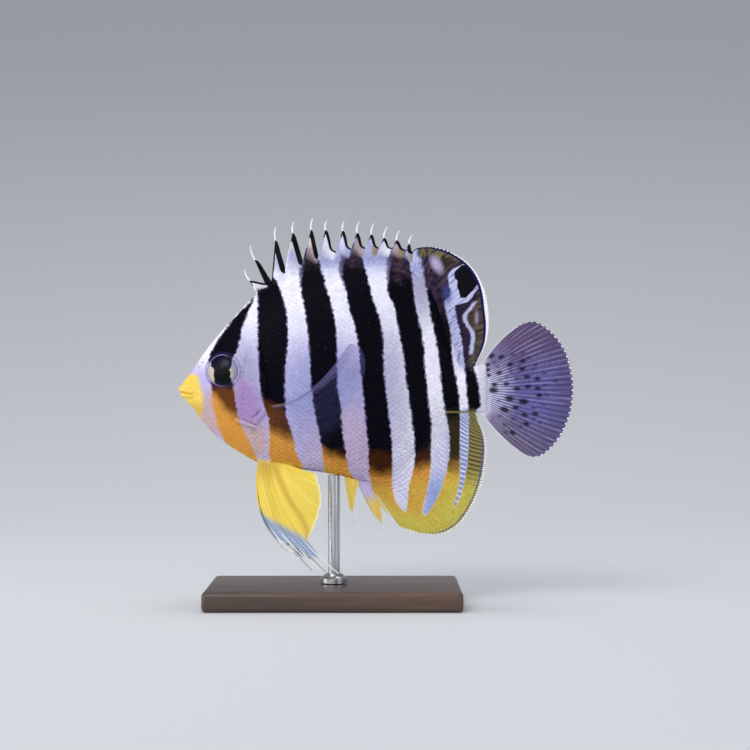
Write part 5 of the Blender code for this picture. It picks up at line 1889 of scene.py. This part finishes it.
def makeEye(word, side, finish):
    e = eyeShape
    centreX, centreZ = headDetail["eye"]
    spin, lean = side * math.radians(e["turn"]), side * math.radians(e["tilt"])
    middle = np.array([centreX, side * (flankAt(centreX, centreZ) - e["sunk"]), centreZ])

    def seated(x, y, z):
        # leans the lens with the slope of the head, turns it towards the snout and sets it in its socket
        y, z = y * math.cos(lean) - z * math.sin(lean), y * math.sin(lean) + z * math.cos(lean)
        x, y = x * math.cos(spin) - y * math.sin(spin), x * math.sin(spin) + y * math.cos(spin)
        return np.stack([x, y, z], -1) + middle

    rings, sides = e["rings"] - 1, e["sides"]
    polar = np.linspace(0, math.pi, rings + 2)[1:-1]
    p, a = np.meshgrid(polar, np.linspace(0, 2 * math.pi, sides, endpoint=False), indexing="ij")
    radius = e["radius"] * np.sin(p)
    out = e["depth"] * np.cos(p)
    x, z = radius * np.cos(a), radius * np.sin(a)
    # the cornea swells over the pupil, with a faint groove where the eye's rim begins
    away = np.hypot(x - (e["pupil"][0] - centreX), z - (e["pupil"][1] - centreZ))
    front = out > 0
    out = out + front * e["pupilRise"] * np.exp(-((away / 2.2) ** 2))
    out = out - front * 0.12 * np.exp(-(((radius - e["grooveRadius"]) / 0.14) ** 2))
    poles = [seated(0.0, side * depth, 0.0) for depth in (e["depth"] + e["pupilRise"], -e["depth"])]
    faces = [tuple(f) for f in gridFaces(rings, sides, wrap=True)]
    top, low, last = rings * sides, rings * sides + 1, (rings - 1) * sides
    faces += [(top, (k + 1) % sides, k) for k in range(sides)]
    faces += [(low, last + k, last + (k + 1) % sides) for k in range(sides)]
    eye = newMesh("eye" + word, np.concatenate([seated(x, side * out, z).reshape(-1, 3), poles]), faces)
    faceOutward(eye)
    eye.data.materials.append(finish)
    plant(eye, "eye", "eye_" + word.lower())


wetEye = eyeFinish()
for word, side in flanks:
    makeEye(word, side, wetEye)
print("eyes ready")

# Small hard parts of the head: the cheek's long spine, the teeth along its edge and the nostril rims
hardParts = {
    "spineGirth": (0.8, 0.7, 0.54, 0.36, 0.1),
    "spineProud": (-0.25, 1.1),
    "teeth": 13,
    "toothLength": 0.45,
    "toothGirth": 0.08,
    "rimGirth": 0.09,
    "rimRadius": 0.3,
}


def hardFinish():
    material, tree, shader = newFinish("cheekSpine", 0.35, specular=0.3, coat=0.1, coatRough=0.1)
    place = placed(tree)
    marks = useGroup(fishMarks, Place=place, Ragged=0.2)
    colour = mix(marks["Colour"], ramp(cloud(place, 900.0), 0.3, 0.7, 0.05, 0.25), tint(176, 160, 208))
    feed(shader.inputs["Base Color"], colour)
    return material


def makeHardParts(word, side, finish):
    h = hardParts

    def proud(x, z, out):
        # a place beside the head's flank
        return x, side * (flankAt(x, z) + out), z

    (x0, z0), (x1, z1) = headDetail["cheekSpine"]
    low, high = h["spineProud"]
    path = [proud(x0 + (x1 - x0) * k, z0 + (z1 - z0) * k, low + (high - low) * k)
            for k in np.linspace(0, 1, 18)]
    path = easeKnots(path, np.linspace(0, len(path) - 1, 30))
    t = np.linspace(0, 1, 30)
    spot = np.stack([t * 0, t, t * 0], -1)
    lines = [(path, np.interp(t, np.linspace(0, 1, len(h["spineGirth"])), h["spineGirth"]), spot, 0.0)]
    for x, z in alongLine(headDetail["cheekEdge"], np.linspace(0.12, 0.86, h["teeth"])):
        y = flankAt(x, z)
        ends = [(x - 0.3, side * (y + 0.1), z + 0.05), (x + h["toothLength"], side * (y + 0.12), z - 0.12)]
        tooth = alongLine(ends, np.linspace(0, 1, 4))
        lines.append((tooth, h["toothGirth"] * np.array([1, 0.8, 0.5, 0.12]), np.zeros((4, 3)), 0.0))
    for x, z in headDetail["nostrils"]:
        y = proud(x, z, 0.02)[1]
        ring = [(x + h["rimRadius"] * math.cos(k), y, z + h["rimRadius"] * math.sin(k))
                for k in np.linspace(0, 2 * math.pi, 21)]
        lines.append((ring, h["rimGirth"], np.zeros((21, 3)), 0.0))
    plant(tubes("cheekSpine" + word, lines, finish, 10), "skin")


cheekFinish = hardFinish()
for word, side in flanks:
    makeHardParts(word, side, cheekFinish)

# Small scales climb the roots of the back and anal fins
finScaleLayout = {
    "along": 0.85,
    "across": 0.7,
    "reach": 0.62,
    "breadth": 0.48,
    "thickness": 0.05,
    "finHeight": 16.0,
    "far": {"dorsal": 0.5, "anal": 0.42},
    "seed": 61,
    "patch": {"dorsal": (0.02, 0.3), "anal": (0.36, 0.3)},
}


def finRoots(side):
    layout = finScaleLayout
    dice = np.random.default_rng(layout["seed"])
    roots = []
    fine = np.linspace(0, 1, 200)
    for label, fin in (("dorsal", softDorsal), ("anal", softAnal)):
        (offset, span), far = layout["patch"][label], layout["far"][label]
        # rows keep an even distance from the root; each is as long as the fin is there
        for row in range(int(far * layout["finHeight"] / layout["along"]) + 1):
            t = row * layout["along"] / layout["finHeight"]
            arc = arcLength(finPoint(fin, fine, np.full(200, t)))
            for spot in np.arange(0.3 + (row % 2) * layout["across"] / 2, arc[-1] - 0.3, layout["across"]):
                s = float(np.interp(spot, arc, fine))
                if t > far * (0.75 + 0.25 * math.sin(40 * s)):
                    continue
                here = finPoint(fin, np.array(s), np.array(t))
                ahead = unit(finPoint(fin, np.array(s), np.array(t + 0.02)) - here)
                depth = 0.2 * (1 - t) + 0.05 * t + 0.02 + float(fairing(here, fin["above"], t))
                jitter = dice.uniform(-1, 1, 3)
                small = (1 - 0.45 * t / far) * mm
                roots.append((inRoom(here + np.array([0, side * depth, 0]))[0],
                              (0.05 * jitter[0], side, 0.05 * jitter[1]), ahead, layout["reach"] * small,
                              layout["breadth"] * small, (offset + span * s, t, 0.0)))
    # the lappets' roots
    for grid, half in spinySheets:
        columns, rows = half.shape
        for row in range(2, int(0.36 * rows), 3):
            width = np.linalg.norm(grid[-1, row] - grid[0, row])
            count = max(int(width / layout["across"]), 2)
            for k in range(count):
                column = int((k + 0.3 + 0.4 * (row % 2)) / count * (columns - 1))
                seat = grid[column, row] + np.array([0, side * (half[column, row] + 0.02), 0])
                jitter = dice.uniform(-1, 1, 2)
                small = (1.05 - 0.9 * row / rows) * mm
                roots.append((inRoom(seat)[0], (0.05 * jitter[0], side, 0.1 + 0.05 * jitter[1]),
                              unit(grid[column, row + 2] - grid[column, row]), layout["reach"] * small,
                              layout["breadth"] * small, (0.9 + 0.005 * column, 0.02 * row, 0.0)))
    return asValues(roots)


def finScaleFinish():
    # the same marks as the webs they lie on: the back fin's above the middle, the anal fin's below
    material, tree, shader = newFinish("finScales", 0.42, specular=0.06, coat=0.01, coatRough=0.2)
    place = attribute(tree, "scalePlace")
    s, t, _ = split(attribute(tree, "rootSpot"))
    tone = ramp(attribute(tree, "scaleTone", "Fac"), 0.0, 1.0, 0.86, 1.06, "LINEAR")
    colours = []
    for label, group in (("dorsal", dorsalMarks), ("anal", analMarks)):
        offset, span = finScaleLayout["patch"][label]
        spot = gathered(s * (1 / span) - offset / span, t, 9.0)
        colours.append(useGroup(group, Place=place, Spot=spot)["Colour"])
    x, z = splitPlace(place)
    upper = ramp(z, -1.0, 1.0)
    colour = mix(colours[1], upper, colours[0])
    spiny = useGroup(fishMarks, Place=place, Ragged=0.3)["Colour"]
    colour = mix(colour, ramp(x, 58.6, 58.2) * upper, spiny)
    feed(shader.inputs["Base Color"], mix(colour, 1.0, tone, "MULTIPLY"))
    return material


finScaleSheen = finScaleFinish()


def coatFins(word, side):
    roots = finRoots(side)
    piece = grownFrom("finScales" + word, roots["seat"], roots, scaleTree, Seed=50 + side,
                      Finish=finScaleSheen, Thickness=finScaleLayout["thickness"] * mm)
    plant(piece, "olive_fin")


for word, side in flanks:
    coatFins(word, side)

# The stand keeps the sizes of the plain one: a bevelled wooden base, a steel collar and a rod
standShape = {
    "middle": 39.2,
    "base": (64.0, 44.0, 5.0),
    "bevel": 1.2,
    "rodRadius": 1.5,
    "rodTop": -21.9,
    "collar": ((1.85, 0.0), (3.4, 0.0), (3.4, 1.2), (3.1, 1.5), (2.5, 1.8), (2.3, 2.2), (1.85, 2.2)),
    "wood": tint(58, 42, 34),
    "woodLight": tint(92, 66, 50),
    "steel": tint(196, 198, 202),
    "steelShade": tint(168, 171, 176),
}


def turned(name, profile, finish, sides=72):
    # a closed turned shape from (radius, height) pairs; the profile is itself closed
    points, faces = [], []
    n = len(profile)
    for i, (radius, height) in enumerate(profile):
        for k in range(sides):
            a = 2 * math.pi * k / sides
            points.append((standShape["middle"] + radius * math.cos(a), radius * math.sin(a), height))
            here, above, after = i * sides, (i + 1) % n * sides, (k + 1) % sides
            faces.append((here + k, here + after, above + after, above + k))
    return finishSolid(newMesh(name, points, faces), finish)


def finishSolid(obj, finish, *bevel):
    faceOutward(obj, 1e-7, *bevel)
    obj.data.shade_smooth()
    obj.data.set_sharp_from_angle(angle=math.radians(35))
    obj.data.materials.append(finish)
    return obj


def woodFinish():
    material, tree, shader = newFinish("darkWood", 0.38, coat=0.25, coatRough=0.3)
    place = stretched(placed(tree), (35.0, 420.0, 420.0))
    grain = cloud(place, 1.0, 6.0, 0.6)
    rings = grain * 0.6 + cloud(place, 0.25, 2.0) * 0.5
    feed(shader.inputs["Base Color"],
         mix(standShape["wood"], ramp(rings, 0.42, 0.7), standShape["woodLight"]))
    feed(shader.inputs["Roughness"], ramp(grain, 0.3, 0.7, 0.34, 0.5))
    bumped(shader, grain, 0.15, 0.0002)
    return material


def steelFinish():
    material, tree, shader = newFinish("brushedSteel", 0.3, metal=1.0)
    brushed = cloud(stretched(placed(tree), (900.0, 900.0, 60.0)), 1.0, 3.0)
    feed(shader.inputs["Base Color"],
         mix(standShape["steel"], ramp(brushed, 0.4, 0.7), standShape["steelShade"]))
    feed(shader.inputs["Roughness"], ramp(brushed, 0.3, 0.7, 0.2, 0.36))
    return material


def makeStand():
    d = standShape
    floor = -snoutHeight
    length, depth, height = d["base"]
    corners = [(d["middle"] + a * length / 2, b * depth / 2, floor + c * height) for c in (0, 1)
               for b in (-1, 1) for a in (-1, 1)]
    box = [(0, 2, 3, 1), (4, 5, 7, 6), (0, 1, 5, 4), (1, 3, 7, 5), (3, 2, 6, 7), (2, 0, 4, 6)]
    base = finishSolid(newMesh("standBase", corners, box), woodFinish(), d["bevel"], 5)
    steel = steelFinish()
    foot, top = floor + height + 0.3, d["rodTop"]
    r, ease = d["rodRadius"], 0.1
    outline = [(0.0, foot), (r - ease, foot), (r, foot + ease), (r, top - ease), (r - ease, top),
               (0.0, top)]
    rod = turned("standRod", outline, steel)
    collar = turned("standCollar", [(radius, foot + up) for radius, up in d["collar"]], steel)
    plant(base, "base_wood", "stand_base")
    plant(rod, "rod_steel", "stand_rod")
    plant(collar, "rod_steel", "stand_collar")
    print("stand ready")


makeStand()


# Camera, lights and floor
cameraSetup = {"place": (-0.0004, -0.52875, 0.05795), "lens": 100.0}
lightSetup = (
    {"name": "day", "kind": "SUN", "place": (-0.5, -1.0, 0.55), "aim": (0, 0, 0), "size": 1.2,
     "watts": 1.12,
     "colour": (1, 1, 1)},
    {"name": "key", "kind": "AREA", "place": (-0.35, -0.75, 0.75), "aim": (0, 0, 0.055), "size": 0.4,
     "watts": 2.4,
     "colour": (1, 1, 1)},
    {"name": "fill", "kind": "AREA", "place": (0.7, -0.6, 0.25), "aim": (0, 0, 0.05), "size": 0.5,
     "watts": 1.2,
     "colour": (0.96, 0.98, 1)},
    {"name": "top", "kind": "AREA", "place": (0.05, 0.1, 0.75), "aim": (0, 0, 0.05), "size": 0.5,
     "watts": 2.0,
     "colour": (1, 1, 1)},
    {"name": "rimLeft", "kind": "AREA", "place": (-0.6, -0.1, 0.12), "aim": (0, 0, 0.05), "size": 0.3,
     "watts": 1.4,
     "colour": (1, 1, 1)},
)


def makeLights():
    for item in lightSetup:
        data = bpy.data.lights.new(item["name"], item["kind"])
        data.energy = item["watts"]
        setattr(data, "angle" if item["kind"] == "SUN" else "size", item["size"])
        data.color = item["colour"]
        light = newObject(item["name"], data)
        light.location = item["place"]
        aim = Vector(item["aim"]) - Vector(item["place"])
        light.rotation_euler = aim.to_track_quat("-Z", "Y").to_euler()
    world = bpy.data.worlds.new("studio")
    world.use_nodes = True
    world.node_tree.nodes["Background"].inputs["Color"].default_value = (0.87, 0.89, 0.92, 1)
    world.node_tree.nodes["Background"].inputs["Strength"].default_value = 0.25
    bpy.context.scene.world = world


def makeFloor():
    # a seamless sweep: floor, a wide curve and a wall far behind, greyer towards the top
    half, front, flat, radius, top = 3.0, -1.8, 0.25, 1.7, 3.0
    turn = np.linspace(0, math.pi / 2, 40)[1:]
    curve = [(flat + radius * math.sin(a), radius - radius * math.cos(a)) for a in turn]
    profile = [(front, 0.0), (flat, 0.0), *curve, (flat + radius, top)]
    points = [(x, y, z) for y, z in profile for x in (-half, half)]
    mesh = bpy.data.meshes.new("floor")
    mesh.from_pydata(points, [],
                     [(2 * i, 2 * i + 1, 2 * i + 3, 2 * i + 2) for i in range(len(profile) - 1)])
    mesh.shade_smooth()
    material, tree, shader = newFinish("paleFloor", 0.8, specular=0.2)
    shade = ramp(split(placed(tree))[2], 0.0, 0.4)
    feed(shader.inputs["Base Color"], mix(tint(222, 225, 230), shade, tint(186, 191, 200)))
    mesh.materials.append(material)
    newObject("floor", mesh)


def makeCamera():
    data = bpy.data.cameras.new("camera")
    data.lens = cameraSetup["lens"]
    camera = newObject("camera", data)
    camera.location = cameraSetup["place"]
    camera.rotation_euler = (math.radians(90), 0, 0)
    bpy.context.scene.camera = camera


makeLights()
makeFloor()
makeCamera()
bpy.context.scene.view_settings.view_transform = "Standard"
